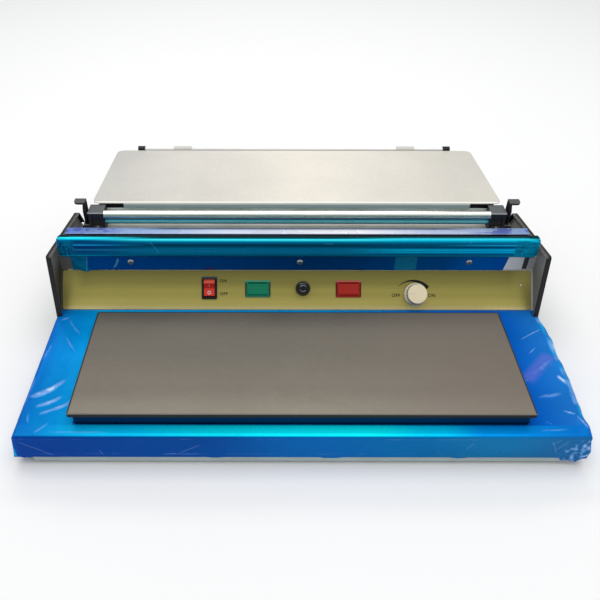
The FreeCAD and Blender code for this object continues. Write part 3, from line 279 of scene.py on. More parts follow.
def make_materials():
    """One material for each slot of the record."""
    made = {}
    made["filmed_steel"] = film("filmed_steel", (0.002, 0.16, 0.58))

    s = painted("cheek_paint", (0.05, 0.05, 0.047), 0.36, 0.5, hammered=0.00012, speck=0.2, **LOW_GLOSS)
    inward = s.both(s.math("SIGN", s.axes[0]), s.faces[0])
    inner = s.rise(inward, -0.75, -0.45, 1.0, 0.0)
    # Painted shade on the inner faces: darker low down, and darker on the left cheek than on the right. Towards the
    # back they turn near white.
    high = s.rise(s.axes[2], 0.082, 0.116)
    left_grey = s.mix(high, (0.060, 0.055, 0.046), (0.30, 0.29, 0.26))
    right_grey = s.mix(high, (0.27, 0.27, 0.26), (0.44, 0.44, 0.42))
    grey = s.mix(s.rise(s.axes[0], -0.01, 0.01), left_grey, right_grey)
    grey = s.mix(s.rise(s.axes[1], 0.046, 0.060), grey, (0.86, 0.85, 0.80))
    grey = s.shade(grey, s.clouds, 0.8, 1.2)
    outer = (0.010, 0.010, 0.012)
    # Painted highlight: the flange's upward faces along the top are a lighter grey.
    lit_flange_top = s.both(s.rise(s.math("ABSOLUTE", s.axes[0]), 0.2910, 0.2920, 1.0, 0.0),
                  s.rise(s.axes[2], 0.104, 0.107), s.rise(s.faces[2], 0.3, 0.6))
    s.set("Base Color", s.mix(lit_flange_top, s.mix(inner, outer, grey), (0.095, 0.092, 0.083)))
    made["cheek_paint"] = s

    s = painted("grey_paint", (0.50, 0.57, 0.55), 0.35, 0.5)
    # Painted shade: the tie darkens towards its front edge.
    tie = s.mix(s.rise(s.axes[1], 0.0415, 0.0375), (1.0, 0.97, 0.89), (0.42, 0.40, 0.35))
    tie = s.mix(s.rise(s.axes[2], 0.03, 0.05), (0.44, 0.52, 0.51), tie)
    s.set("Base Color", s.shade(tie, s.clouds, 0.92, 1.04))
    made["grey_paint"] = s
    s = brushed("steel_dull", (0.66, 0.65, 0.60), 0.35, 0.5, Metallic=0.1)
    # Painted shade: the bracket's steel is darker at its upper left corner, along its left margin and in the gap by the
    # right cheek.
    corner = s.both(s.rise(s.axes[0], -0.276, -0.270, 1.0, 0.0), s.rise(s.axes[2], 0.0835, 0.0850))
    margin = s.rise(s.axes[0], -0.2850, -0.2858)
    shaded_gap = s.both(s.band(s.axes[0], 0.2788, 0.2846, 0.0003), s.rise(s.axes[2], 0.0845, 0.0855))
    steel = s.mix(margin, (0.62, 0.61, 0.56), (0.13, 0.12, 0.105))
    steel = s.mix(corner, steel, (0.25, 0.215, 0.185))
    s.set("Base Color", s.mix(shaded_gap, steel, (0.06, 0.06, 0.06)))
    made["steel_dull"] = s

    # The strip's pale middle is a painted highlight; towards each end it is a deeper blue.
    def lilac(s):
        return s.ramp(s.axes[0], -0.30, 0.30, (
            (-0.29, (0.16, 0.25, 0.62)), (-0.20, (0.33, 0.45, 0.72)), (-0.06, (0.68, 0.72, 0.88)),
            (0.06, (0.88, 0.86, 0.92)), (0.18, (0.54, 0.60, 0.82)), (0.29, (0.28, 0.42, 0.70))))
    s = film("lilac_film", lilac, Metallic=0.35)
    ends = s.rise(s.math("ABSOLUTE", s.axes[0]), 0.205, 0.255)
    blotch = s.both(ends, s.rise(s.noise(38.0, (1, 2, 2), 3.0), 0.50, 0.56))
    lay(s, s.both(blotch, 0.75), (0.06, 0.09, 0.46))
    # Painted shade: dark along the strip's back edge, and near black on its front face in the gap before the beam. The
    # strip is also greyer towards its front edge.
    shaded_back_edge = s.both(s.rise(s.axes[1], 0.0200, 0.0252), s.band(s.axes[0], -0.185, 0.205, 0.03))
    lay(s, s.both(shaded_back_edge, 0.86), (0.04, 0.08, 0.15))
    lay(s, s.rise(s.axes[1], 0.0160, 0.0135, 0.0, 0.50), (0.20, 0.26, 0.42))
    lay(s, toward_operator(s), (0.010, 0.010, 0.014))
    made["lilac_film"] = s

    s = Shader("gold_fascia", (0.36, 0.305, 0.095), 0.38, Metallic=0.6, Anisotropic=0.4)
    streaks = s.noise(26.0, (0.8, 90.0, 90.0), 5.0, 0.6)
    # Painted shade: the fascia darkens upwards under the beam's overhang.
    gold = s.ramp(s.axes[2], 0.047, 0.084, (
        (0.047, (0.80, 0.67, 0.30)), (0.053, (0.59, 0.50, 0.13)), (0.062, (0.44, 0.38, 0.09)),
        (0.074, (0.285, 0.25, 0.060)), (0.084, (0.225, 0.205, 0.050))))
    # Painted light at the fascia's ends by the cheeks, strongest towards the top.
    ends = s.both(s.rise(s.math("ABSOLUTE", s.axes[0]), 0.262, 0.289), s.rise(s.axes[2], 0.050, 0.076, 0.2, 0.8))
    s.set("Base Color", s.shade(s.mix(ends, gold, (0.74, 0.64, 0.18)), streaks, 0.95, 1.05))
    s.grain(streaks, 0.34, 0.42)
    s.bump(streaks, 0.00002)
    made["gold_fascia"] = s

    s = moulded("black_plastic", (0.006, 0.006, 0.007), 0.3, 0.45, **LOW_GLOSS)
    # Painted highlight along the top bar of the switch frame.
    frame_top_highlight = s.both(s.rise(s.axes[2], 0.0768, 0.0774), s.band(s.axes[0], -0.1190, -0.0990, 0.0005))
    s.set("Base Color", s.mix(frame_top_highlight, (0.006, 0.006, 0.007), (0.045, 0.060, 0.085)))
    made["black_plastic"] = s
    s = moulded("red_plastic", (0.70, 0.025, 0.012), 0.2, 0.3, **LOW_GLOSS)
    lamp = s.rise(s.axes[0], 0.0, 0.01)
    # Painted light and shade on the paddle: its lower half bright, its upper half darker, and a painted highlight along
    # its top edge.
    paddle = s.ramp(s.axes[2], 0.055, 0.080, (
        (0.0560, (0.82, 0.060, 0.030)), (0.0670, (0.80, 0.050, 0.026)), (0.0700, (0.52, 0.014, 0.010)),
        (0.0742, (0.46, 0.010, 0.010)), (0.0753, (1.0, 0.13, 0.070)), (0.0790, (1.0, 0.13, 0.070))))
    red_frame = lamp_frame(s, (0.14, 0.003, 0.003), (0.58, 0.13, 0.10), (0.32, 0.012, 0.010))
    s.set("Base Color", s.mix(lamp, paddle, red_frame))
    made["red_plastic"] = s
    s = moulded("green_plastic", (0.0, 0.022, 0.014), 0.2, 0.3, Coat_Weight=0.2)
    s.set("Base Color", lamp_frame(s, (0.0, 0.035, 0.024), (0.040, 0.34, 0.19), (0.0, 0.17, 0.095)))
    made["green_plastic"] = s
    made["green_lens"] = make_lens("green_lens", (0.0, 0.27, 0.130), (0.0, 0.06, 0.034))
    made["red_lens"] = make_lens("red_lens", (0.56, 0.026, 0.014), (0.15, 0.003, 0.002))

    s = Shader("fuse_glass", (0.9, 0.95, 0.95), 0.04, Transmission_Weight=0.9, IOR=1.5)
    s.grain(s.noise(300.0), 0.03, 0.08)
    made["fuse_glass"] = s

    s = moulded("cream_plastic", (0.96, 0.82, 0.57), 0.35, 0.5, Subsurface_Weight=0.05,
                Subsurface_Radius=(0.004, 0.003, 0.002))
    up = s.math("MULTIPLY_ADD", s.axes[1], PANEL_UP.y, s.math("MULTIPLY_ADD", s.axes[2], PANEL_UP.z,
                                                              -PANEL_FOOT.dot(PANEL_UP) - KNOB_UP * MM))
    across = s.math("ADD", s.axes[0], -KNOB_X * MM)
    radius = s.math("SQRT", s.math("MULTIPLY_ADD", up, up, s.both(across, across)))
    outward = s.math("MULTIPLY_ADD", s.faces[1], PANEL_OUT.y, s.both(s.faces[2], PANEL_OUT.z))
    # Painted shade in the grooves round the knob's side; the side is a paler cream than the face.
    groove_shade = s.both(s.rise(radius, 0.01240, 0.01215), s.rise(outward, 0.60, 0.30))
    s.set("Base Color", s.mix(groove_shade, s.mix(s.rise(outward, 0.9, 0.6), (0.96, 0.82, 0.57), (1.0, 0.92, 0.72)),
                              (0.16, 0.13, 0.09)))
    made["cream_plastic"] = s
    made["zinc"] = brushed("zinc", (0.58, 0.58, 0.56), 0.18, 0.35, (1, 1, 1), 420.0)

    def plate_base(s):
        return s.ramp(s.axes[2], 0.046, 0.064, (
            (0.047, (0.0, 0.012, 0.05)), (0.054, (0.002, 0.035, 0.11)), (0.062, (0.0, 0.02, 0.07))))
    made["dark_blue_paint"] = film("dark_blue_paint", plate_base)
    made["ceramic_fibre"] = painted("ceramic_fibre", (0.85, 0.84, 0.80), 0.8, 0.95, hammered=0.0004)
    made["mica"] = painted("mica", (0.50, 0.42, 0.26), 0.5, 0.7)

    s = painted("black_plate", (0.008, 0.008, 0.009), 0.4, 0.5, **LOW_GLOSS)
    rim = s.both(s.rise(s.axes[2], 0.0660, 0.0665), s.rise(s.axes[1], -0.2262, -0.2255, 1.0, 0.0))
    s.set("Base Color", s.mix(rim, (0.005, 0.005, 0.006), (0.22, 0.20, 0.17)))
    made["black_plate"] = s

    s = Shader("plate_coating", (0.175, 0.16, 0.135), 0.4, Metallic=0.3, Specular_IOR_Level=0.3)
    weave = s.noise(900.0, (1.0, 1.0, 1.0), 3.0)
    clouds = s.noise(7.0, (1.0, 1.6, 1.0), 5.0, 0.6, 0.4)
    # Painted shade and reflection: the coating is lighter at the front and darker towards the back, where it reflects
    # the dark panel and beam.
    tint = s.ramp(s.axes[1], -0.23, -0.07, (
        (-0.228, (0.24, 0.215, 0.175)), (-0.19, (0.175, 0.155, 0.125)), (-0.13, (0.145, 0.130, 0.105)),
        (-0.072, (0.125, 0.115, 0.095))))
    tint = s.shade(s.shade(tint, clouds, 0.92, 1.08), s.noise(260.0, (1, 1, 1), 3.0), 0.97, 1.03)
    tint = s.mix(s.rise(s.axes[0], 0.0, 0.22, 0.0, 0.55), tint, (0.21, 0.172, 0.140))
    smear = s.rise(s.noise(16.0, (1.0, 1.4, 1.0), 5.0, 0.6), 0.56, 0.68, 0.0, 0.25)
    tint = s.mix(smear, tint, (0.17, 0.135, 0.105))
    seam = s.math("MAXIMUM", s.rise(s.math("ABSOLUTE", s.axes[0]), 0.2366, 0.2372),
                  s.rise(s.axes[1], -0.0744, -0.0738))
    s.set("Base Color", s.mix(s.both(seam, 0.85), tint, (0.012, 0.010, 0.010)))
    s.grain(s.math("ADD", s.both(clouds, 0.7), s.both(weave, 0.3)), 0.38, 0.48)
    s.bump(s.math("ADD", weave, s.both(s.cells(1500.0), 0.4)), 0.00003)
    made["plate_coating"] = s

    made["bare_steel"] = brushed("bare_steel", (1.0, 1.0, 0.98), 0.3, 0.45, contrast=0.12, Metallic=0.03)

    # The beam's blue with painted highlights and reflections: bright bands along its top round and by its grooves, dark
    # bands between, set differently at the left end, the middle and the right.
    def beam_tint_and_highlights(s):
        left = s.ramp(s.axes[2], 0.1105, 0.1386, (
            (0.1108, (0.0, 0.07, 0.22)), (0.1140, (0.0, 0.09, 0.24)), (0.1152, (0.0, 0.32, 0.50)),
            (0.1164, (0.0, 0.09, 0.22)), (0.1216, (0.0, 0.09, 0.26)), (0.1228, (0.05, 0.33, 0.62)),
            (0.1240, (0.0, 0.10, 0.28)), (0.1262, (0.0, 0.05, 0.18)), (0.1288, (0.0, 0.09, 0.30)),
            (0.1302, (0.01, 0.46, 0.88)), (0.1316, (0.0, 0.11, 0.32)), (0.1350, (0.0, 0.06, 0.16)),
            (0.1364, (0.0, 0.14, 0.38)), (0.1373, (0.0, 0.60, 0.85)), (0.1380, (0.02, 0.80, 0.95))))
        middle = s.ramp(s.axes[2], 0.1105, 0.1386, (
            (0.1108, (0.0, 0.035, 0.09)), (0.1135, (0.0, 0.08, 0.17)), (0.1165, (0.0, 0.16, 0.29)),
            (0.1200, (0.0, 0.20, 0.42)), (0.1212, (0.01, 0.33, 0.62)), (0.1224, (0.0, 0.22, 0.44)),
            (0.1265, (0.0, 0.17, 0.34)), (0.1300, (0.0, 0.05, 0.11)), (0.1325, (0.0, 0.13, 0.27)),
            (0.1346, (0.0, 0.19, 0.42)), (0.1357, (0.0, 0.45, 0.62)), (0.1366, (0.06, 0.86, 1.0)),
            (0.1374, (0.04, 0.80, 0.95)), (0.1379, (0.0, 0.08, 0.10)), (0.1385, (0.0, 0.03, 0.04))))
        right = s.ramp(s.axes[2], 0.1105, 0.1386, (
            (0.1108, (0.0, 0.05, 0.13)), (0.1130, (0.0, 0.10, 0.20)), (0.1146, (0.0, 0.20, 0.35)),
            (0.1165, (0.0, 0.13, 0.28)), (0.1185, (0.0, 0.15, 0.33)), (0.1198, (0.0, 0.52, 0.92)),
            (0.1225, (0.0, 0.60, 1.0)), (0.1243, (0.0, 0.52, 0.88)), (0.1256, (0.0, 0.17, 0.36)),
            (0.1275, (0.0, 0.14, 0.32)), (0.1300, (0.0, 0.10, 0.22)), (0.1325, (0.0, 0.15, 0.31)),
            (0.1348, (0.0, 0.24, 0.46)), (0.1362, (0.0, 0.52, 0.78)), (0.1372, (0.02, 0.66, 0.85)),
            (0.1379, (0.03, 0.55, 0.68)), (0.1384, (0.0, 0.12, 0.16))))
        left = s.mix(s.rise(s.axes[0], -0.26, -0.16), left, middle)
        return s.mix(s.rise(s.axes[0], 0.04, 0.14), left, right)
    s = film("beam_film", beam_tint_and_highlights)
    # Painted highlights: the band by the lower groove is dimmed in patches in the middle, and a bright line runs by the
    # upper groove on the right.
    patchy = s.rise(s.noise(7.0, (1.0, 0.1, 0.1), 4.0, 0.7), 0.40, 0.60)
    dull = s.both(s.band(s.axes[2], 0.1203, 0.1221, 0.0004), s.band(s.axes[0], -0.18, 0.08, 0.03), patchy)
    lay(s, s.both(dull, 0.45), (0.0, 0.19, 0.40))
    upper_highlight_line = s.both(s.band(s.axes[2], 0.1295, 0.1313, 0.0004), s.rise(s.axes[0], 0.15, 0.24), 0.9)
    lay(s, upper_highlight_line, (0.01, 0.50, 0.80))
    wrapped = s.both(s.math("MAXIMUM", s.rise(s.axes[0], -0.2650, -0.2685), s.rise(s.axes[0], 0.2565, 0.2600)),
                     s.rise(s.faces[2], 0.45, 0.65, 1.0, 0.0))
    crinkle = s.rise(s.noise(230.0, (1.6, 0.7, 0.7), 4.0, 0.65, 0.6), 0.38, 0.62)
    crinkled = s.mix(s.rise(s.axes[0], -0.01, 0.01), s.mix(crinkle, (0.0, 0.05, 0.16), (0.0, 0.20, 0.34)),
                     s.mix(crinkle, (0.0, 0.17, 0.31), (0.0, 0.28, 0.44)))
    lay(s, s.both(wrapped, 0.92), crinkled)
    # Painted highlight along the lower round near each end.
    hem = s.both(s.band(s.axes[2], 0.1138, 0.1150, 0.0004),
                 s.math("MAXIMUM", s.rise(s.axes[0], -0.225, -0.262), s.rise(s.axes[0], 0.205, 0.245)))
    lay(s, s.both(hem, 0.8), (0.0, 0.34, 0.50))
    # Painted shade on the faces that look up and back, over the beam's top.
    lay(s, s.rise(s.faces[1], -0.20, 0.0), (0.003, 0.018, 0.028))
    scratches = (((-0.1740, 0.1335), (-0.1650, 0.1165)), ((-0.1755, 0.1345), (-0.1730, 0.1310)),
                 ((0.2050, 0.1365), (0.2012, 0.1305)), ((0.0300, 0.1325), (0.0420, 0.1318)))
    for start, end in scratches:
        scratch = s.streak(s.axes[0], s.axes[2], start, end, 0.00025)
        lay(s, s.both(scratch, 0.6), (0.10, 0.50, 0.62))
    made["beam_film"] = s

    made["black_coating"] = painted("black_coating", (0.005, 0.005, 0.005), 0.5, 0.65, **LOW_GLOSS)
    made["red_lead"] = moulded("red_lead", (0.55, 0.01, 0.01), 0.25, 0.4)
    made["white_plastic"] = moulded("white_plastic", (0.80, 0.79, 0.75), 0.3, 0.45)
    s = painted("black_paint", (0.010, 0.010, 0.012), 0.3, 0.45, **LOW_GLOSS)
    # Painted highlight on the upward faces of the tabs' tops.
    tab_highlight = s.both(s.rise(s.axes[2], 0.1425, 0.1435), s.rise(s.faces[2], 0.7, 0.9))
    s.set("Base Color", s.mix(tab_highlight, (0.010, 0.010, 0.012), (0.085, 0.085, 0.085)))
    made["black_paint"] = s
    made["cream_paint"] = painted("cream_paint", (0.90, 0.90, 0.80), 0.3, 0.45)

    s = moulded("housing_plastic", (0.030, 0.033, 0.040), 0.28, 0.42, **LOW_GLOSS)
    # Painted highlights: faces that look up are lighter, with a bright line along the ridge. Front faces low down are a
    # little lighter than the rest.
    upward = s.rise(s.faces[2], 0.6, 0.9)
    ridge = s.both(s.rise(s.axes[2], 0.1338, 0.1342), s.rise(s.axes[1], 0.0372, 0.0368, 0.0, 1.0))
    patch = s.both(s.rise(s.axes[2], 0.1225, 0.1235, 1.0, 0.0), s.rise(s.faces[1], -0.9, -0.7, 1.0, 0.0))
    body = s.mix(upward, s.mix(patch, (0.020, 0.022, 0.028), (0.040, 0.038, 0.038)), (0.110, 0.118, 0.122))
    s.set("Base Color", s.mix(ridge, body, (0.36, 0.38, 0.40)))
    made["housing_plastic"] = s

    s = brushed("chrome_roller", (0.86, 0.86, 0.83), 0.12, 0.2, (1, 30, 30), 40.0, 0.06)
    # Painted reflection and shade: the roller's colour follows which way its surface looks, light above and dark below,
    # however far it has turned.
    chrome = s.ramp(s.upward(), -1.0, 1.0, (
        (-0.95, (0.10, 0.18, 0.24)), (-0.20, (0.32, 0.58, 0.74)), (0.18, (0.48, 0.64, 0.60)),
        (0.40, (0.31, 0.43, 0.36)), (0.56, (0.74, 0.90, 0.78)), (0.66, (0.92, 0.92, 0.90)),
        (0.96, (0.92, 0.92, 0.90)), (1.0, (0.86, 0.81, 0.70))))
    s.set("Base Color", s.shade(chrome, s.noise(40.0, (1, 30, 30)), 0.97, 1.03))
    made["chrome_roller"] = s

    # Painted reflection and shade on the blue roller by which way its surface looks: bright round its middle, dark on
    # top and underneath.
    def blue_roller_shading(s):
        return s.ramp(s.upward(), -1.0, 1.0, (
            (-0.95, (0.01, 0.08, 0.12)), (-0.45, (0.03, 0.17, 0.23)), (0.02, (0.18, 0.80, 1.0)),
            (0.45, (0.34, 0.95, 1.0)), (0.66, (0.10, 0.80, 1.0)), (0.80, (0.0, 0.24, 0.50)),
            (0.92, (0.0, 0.06, 0.20)), (1.0, (0.0, 0.05, 0.18))))
    made["blue_roller"] = film("blue_roller", blue_roller_shading, Metallic=0.1)
    made["bed_tube"] = brushed("bed_tube", (0.70, 0.70, 0.68), 0.25, 0.4, (90, 1, 1), 20.0)

    s = Shader("lid_steel", (0.80, 0.775, 0.72), 0.45, Metallic=0.15, Specular_IOR_Level=0.3)
    thread = s.noise(16.0, (8.0, 80.0, 80.0), 4.0, 0.6)
    weft = s.noise(16.0, (80.0, 8.0, 8.0), 4.0, 0.6)
    fine = s.cells(1100.0, (1.0, 0.6, 1.0))
    clouds = s.noise(7.0, (1, 1, 1), 5.0, 0.6, 0.4)
    cloth = s.math("ADD", s.both(thread, 0.5), s.both(weft, 0.5))
    # Painted sheen: the lid is lighter and creamier in the middle and greyer towards each side.
    tint = s.ramp(s.axes[0], -0.27, 0.27, (
        (-0.26, (0.60, 0.585, 0.545)), (-0.14, (0.72, 0.69, 0.635)), (0.02, (0.84, 0.79, 0.70)),
        (0.14, (0.77, 0.73, 0.655)), (0.26, (0.67, 0.645, 0.58))))
    tint = s.shade(tint, clouds, 0.97, 1.03)
    tint = s.shade(tint, cloth, 0.93, 1.07)
    # Painted highlight along the lid's front edge, and painted shade in blue-grey on its front lip below the top.
    behind = s.rise(s.axes[2], 0.1350, 0.1356, 1.0, 0.0)
    tint = s.mix(s.rise(s.axes[1], 0.0604, 0.0592), tint, (1.0, 0.97, 0.90))
    s.set("Base Color", s.mix(s.both(toward_operator(s), behind), tint, (0.40, 0.49, 0.495)))
    s.grain(clouds, 0.42, 0.52)
    s.bump(s.math("ADD", cloth, s.both(fine, 0.5)), 0.00005)
    made["lid_steel"] = s

    made["rubber_black"] = moulded("rubber_black", (0.008, 0.008, 0.008), 0.6, 0.75, **LOW_GLOSS)
    return made


shaders = make_materials()


def dress_frame():
    """Gives every CAD node the material of its slot."""
    slot_of = {}
    for part in frame["record"]["subparts"]:
        slot_of[part["node"]] = part["material_slot"]
    for name, node in frame["nodes"].items():
        for index in range(len(node.material_slots)):
            node.material_slots[index].material = shaders[slot_of[name]].material


dress_frame()


# Extra shaders for pieces that the CAD doesn't hold

def deck_tint_and_light(s):
    """Blue of the deck's film with painted light and shade: brighter by the plate, a painted cyan reflection on the
    ledge before it, painted shade on the skirt.
    """
    x, y = s.axes[0], s.axes[1]
    top = s.ramp(x, -0.30, 0.30, (
        (-0.295, (0.003, 0.16, 0.58)), (-0.272, (0.001, 0.24, 0.66)), (-0.238, (0.0, 0.33, 0.78)),
        (0.0, (0.0, 0.28, 0.72)), (0.238, (0.0, 0.11, 0.56)), (0.295, (0.012, 0.18, 0.60))))
    ledge = s.ramp(x, -0.30, 0.30, (
        (-0.295, (0.004, 0.20, 0.64)), (-0.20, (0.002, 0.56, 1.0)), (-0.08, (0.002, 0.80, 1.0)),
        (0.07, (0.002, 0.88, 1.0)), (0.14, (0.0, 0.62, 1.0)), (0.19, (0.0, 0.30, 0.85)),
        (0.295, (0.002, 0.18, 0.64))))
    skirt = s.ramp(x, -0.30, 0.30, (
        (-0.295, (0.001, 0.060, 0.37)), (-0.12, (0.001, 0.075, 0.36)), (0.02, (0.001, 0.135, 0.46)),
        (0.12, (0.001, 0.16, 0.44)), (0.20, (0.006, 0.19, 0.45)), (0.295, (0.014, 0.155, 0.42))))
    on_ledge = s.band(y, -0.2400, -0.2262, 0.0014)
    top = s.mix(on_ledge, top, ledge)
    return s.mix(toward_operator(s, -0.75), top, skirt)


SKIRT_SCRATCHES = (((-0.2925, 0.0390), (-0.2570, 0.0150)), ((-0.1280, 0.0195), (-0.1030, 0.0340)),
                   ((-0.1450, 0.0180), (-0.1290, 0.0192)), ((-0.2100, 0.0250), (-0.2060, 0.0160)),
                   ((0.1780, 0.0370), (0.1700, 0.0260)), ((0.2570, 0.0400), (0.2660, 0.0200)),
                   ((0.2660, 0.0430), (0.2560, 0.0340)), ((0.2740, 0.0420), (0.2640, 0.0260)))


def make_deck_skin():
    """The deck's film with its glints, milky creases and scratches."""
    s = film("deck_film_skin", deck_tint_and_light)
    x, y, z = s.axes[0], s.axes[1], s.axes[2]
    lay(s, s.rise(x, -0.2915, -0.2945, 0.0, 0.8), (0.003, 0.075, 0.42))
    patchy = s.rise(s.noise(24.0, (1.0, 1.0, 1.0), 3.0), 0.40, 0.56, 0.15, 0.9)
    rim = s.both(s.rise(x, 0.2905, 0.2940), s.band(y, -0.215, -0.062, 0.006), s.rise(z, 0.030, 0.042))
    lay(s, s.both(rim, patchy), (0.01, 0.42, 0.80))
    violet = s.streak(x, y, (0.2480, -0.1660), (0.2900, -0.1220), 0.0065)
    lay(s, s.both(violet, 0.6), (0.12, 0.16, 0.66))
    side_glint = s.both(s.rise(x, -0.2962, -0.2985), s.band(z, 0.013, 0.034, 0.003))
    lay(s, s.both(side_glint, 0.9), (0.0, 0.42, 0.80))
    # The creases are painted milky where the film stands off, and their white cores are painted highlights along the
    # folds.
    rough = s.rise(s.noise(70.0, (1.0, 1.0, 1.0), 3.0, 0.5), 0.30, 0.60, 0.55, 1.0)
    crease = s.both(s.stored("crease"), rough)
    lay(s, s.rise(crease, 0.16, 0.42, 0.0, 0.62), (0.20, 0.42, 0.86))
    lay(s, s.rise(crease, 0.48, 0.80, 0.0, 0.85), (0.62, 0.78, 1.0))
    for low_end, high_end in SKIRT_SCRATCHES:
        mark = s.both(s.streak(x, z, low_end, high_end, 0.00022), toward_operator(s))
        lay(s, s.both(mark, 0.55), (0.30, 0.48, 0.84))
    lines = s.math("MAXIMUM", s.band(z, 0.0424, 0.0428, 0.0003), s.band(z, 0.0180, 0.0186, 0.0004))
    broken = s.rise(s.noise(30.0, (1.0, 1.0, 20.0), 6.0, 0.75), 0.52, 0.60)
    lay(s, s.both(lines, broken, 0.55), (0.30, 0.46, 0.82))
    return s


film_deep = make_deck_skin()


def bracket_tint(s):
    """Blue of the strip under the beam: deep in the middle, brighter at the ends."""
    return s.ramp(s.axes[0], -0.30, 0.30, (
        (-0.275, (0.0, 0.20, 0.36)), (-0.2605, (0.0, 0.19, 0.35)), (-0.2572, (0.0, 0.085, 0.32)),
        (-0.20, (0.0, 0.075, 0.31)),
        (-0.10, (0.0, 0.072, 0.28)), (0.05, (0.0, 0.060, 0.22)), (0.17, (0.0, 0.085, 0.30)),
        (0.215, (0.0, 0.125, 0.46)), (0.27, (0.0, 0.11, 0.48))))


# Each from, to, top, colour and strength
BRACKET_GLINTS = ((-0.1125, -0.1045, 0.0876, (0.11, 0.010, 0.050), 0.7),
                  (-0.0660, -0.0395, 0.0860, (0.0, 0.020, 0.085), 0.6),
                  (0.0490, 0.0800, 0.0860, (0.0, 0.020, 0.100), 0.6))


def make_bracket_skin():
    """The bracket's film with its clear patch, a fold, the lamps' glints and a swirl of creases."""
    s = film("bracket_film_skin", bracket_tint)
    x, z = s.axes[0], s.axes[2]
    speckle = s.rise(s.noise(400.0, (1, 1, 1), 2.0), 0.2, 0.5, 0.4, 0.9)
    lay(s, s.both(s.band(x, 0.1200, 0.1468, 0.0008), speckle), (0.010, 0.22, 0.38))
    fold_line = s.streak(x, z, (-0.2618, 0.0815), (-0.2563, 0.1112), 0.0006)
    lay(s, s.both(fold_line, 0.6), (0.10, 0.42, 0.62))
    for from_x, to_x, top_z, tint, amount in BRACKET_GLINTS:
        below = s.rise(z, top_z - 0.001, top_z + 0.001, 1.0, 0.0)
        lay(s, s.both(s.band(x, from_x, to_x, 0.0012), below, amount), tint)
    swirl = s.both(s.band(x, -0.230, -0.214, 0.002), s.stored("crease"))
    lay(s, s.rise(swirl, 0.2, 0.7, 0.0, 0.7), (0.12, 0.42, 0.66))
    return s


bracket_skin = make_bracket_skin()

ink = moulded("panel_ink", (0.006, 0.006, 0.004), 0.55, 0.7, **LOW_GLOSS)
white_ink = moulded("white_ink", (0.85, 0.84, 0.82), 0.4, 0.5)
white_mark = moulded("white_mark", (0.85, 0.80, 0.78), 0.4, 0.5)
pale_mark = moulded("pale_mark", (0.20, 0.23, 0.28), 0.4, 0.5)
dull_mark = moulded("dull_mark", (0.60, 0.22, 0.22), 0.4, 0.5)


def new_object(name, mesh, body, shader, smooth=True):
    made = bpy.data.objects.new(name, mesh)
    bpy.context.scene.collection.objects.link(made)
    mesh.materials.clear()
    mesh.materials.append(shader.material)
    for polygon in mesh.polygons:
        polygon.use_smooth = smooth
    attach(made, body)
    return made


def grid_mesh(name, columns, rows, place, keep=None, crease_at=None):
    """Mesh over a grid of (u, v) values, each put in space by place(u, v); keep(u, v) drops faces."""
    mesh = bpy.data.meshes.new(name)
    flats = [(u, v) for v in rows for u in columns]
    count = len(columns)
    faces = []
    for j in range(len(rows) - 1):
        for i in range(count - 1):
            middle_u = (columns[i] + columns[i + 1]) / 2
            middle_v = (rows[j] + rows[j + 1]) / 2
            if keep and not keep(middle_u, middle_v):
                continue
            a = j * count + i
            faces.append((a, a + 1, a + 1 + count, a + count))
    mesh.from_pydata([place(u, v) for u, v in flats], [], faces)
    if crease_at:
        mesh.attributes.new("crease", "FLOAT", "POINT").data.foreach_set(
            "value", [crease_at(u, v) for u, v in flats])
    clean = bmesh.new()
    clean.from_mesh(mesh)
    loose = [v for v in clean.verts if not v.link_faces]
    bmesh.ops.delete(clean, geom=loose, context="VERTS")
    clean.to_mesh(mesh)
    clean.free()
    return mesh


def thick(obj, thickness):
    modifier = obj.modifiers.new("Film thickness", "SOLIDIFY")
    modifier.thickness = thickness
    modifier.offset = 1.0
    return obj


def steps(low, high, size):
    count = max(1, round((high - low) / size))
    return [low + (high - low) * i / count for i in range(count + 1)]


def rows_of(*spans):
    """Grid lines over spans that follow each other, each (low, high, step)."""
    lines = []
    for low, high, size in spans:
        lines += steps(low, high, size)[1 if lines else 0:]
    return lines


def smooth_share(value, low, high):
    share = max(0.0, min(1.0, (value - low) / (high - low)))
    return share * share * (3 - 2 * share)


class Fold:
    """A ridge in loose film between two points, bent sideways by its bow."""

    def __init__(self, start, end, lift, spread, pale, bow=0.0):
        self.start, self.end = start, end
        self.lift, self.spread, self.pale, self.bow = lift * MM, spread * MM, pale, bow * MM

    def share(self, x, y):
        (ax, ay), (bx, by) = self.start, self.end
        dx, dy = bx - ax, by - ay
        length = math.hypot(dx, dy)
        along = ((x - ax) * dx + (y - ay) * dy) / (length * length)
        if along < -0.05 or along > 1.05:
            return 0.0
        across = ((x - ax) * dy - (y - ay) * dx) / length - self.bow * math.sin(math.pi * along)
        ragged = 0.25 * self.spread * noise.noise(Vector((x * 260, y * 260, 1.0)))
        fade = math.sin(math.pi * min(1.0, max(0.0, (along + 0.05) / 1.1))) ** 0.6
        return fade * math.exp(-((across + ragged) / self.spread) ** 2)


# Deck film

DECK_HALF = 0.295
DECK_FRONT = -0.240
CHEEK_FOOT = -0.0595
CHEEK_INNER = 0.2880
DECK_BACK = -0.0468
DECK_TOP = 0.047
DECK_ROUND = 0.003
SKIRT_LOW = 0.0128
FILM_GAP = 0.00035
PLATE_BASE_HALF = 0.2361
PLATE_BASE_FRONT = -0.2251
PLATE_BASE_BACK = -0.0751

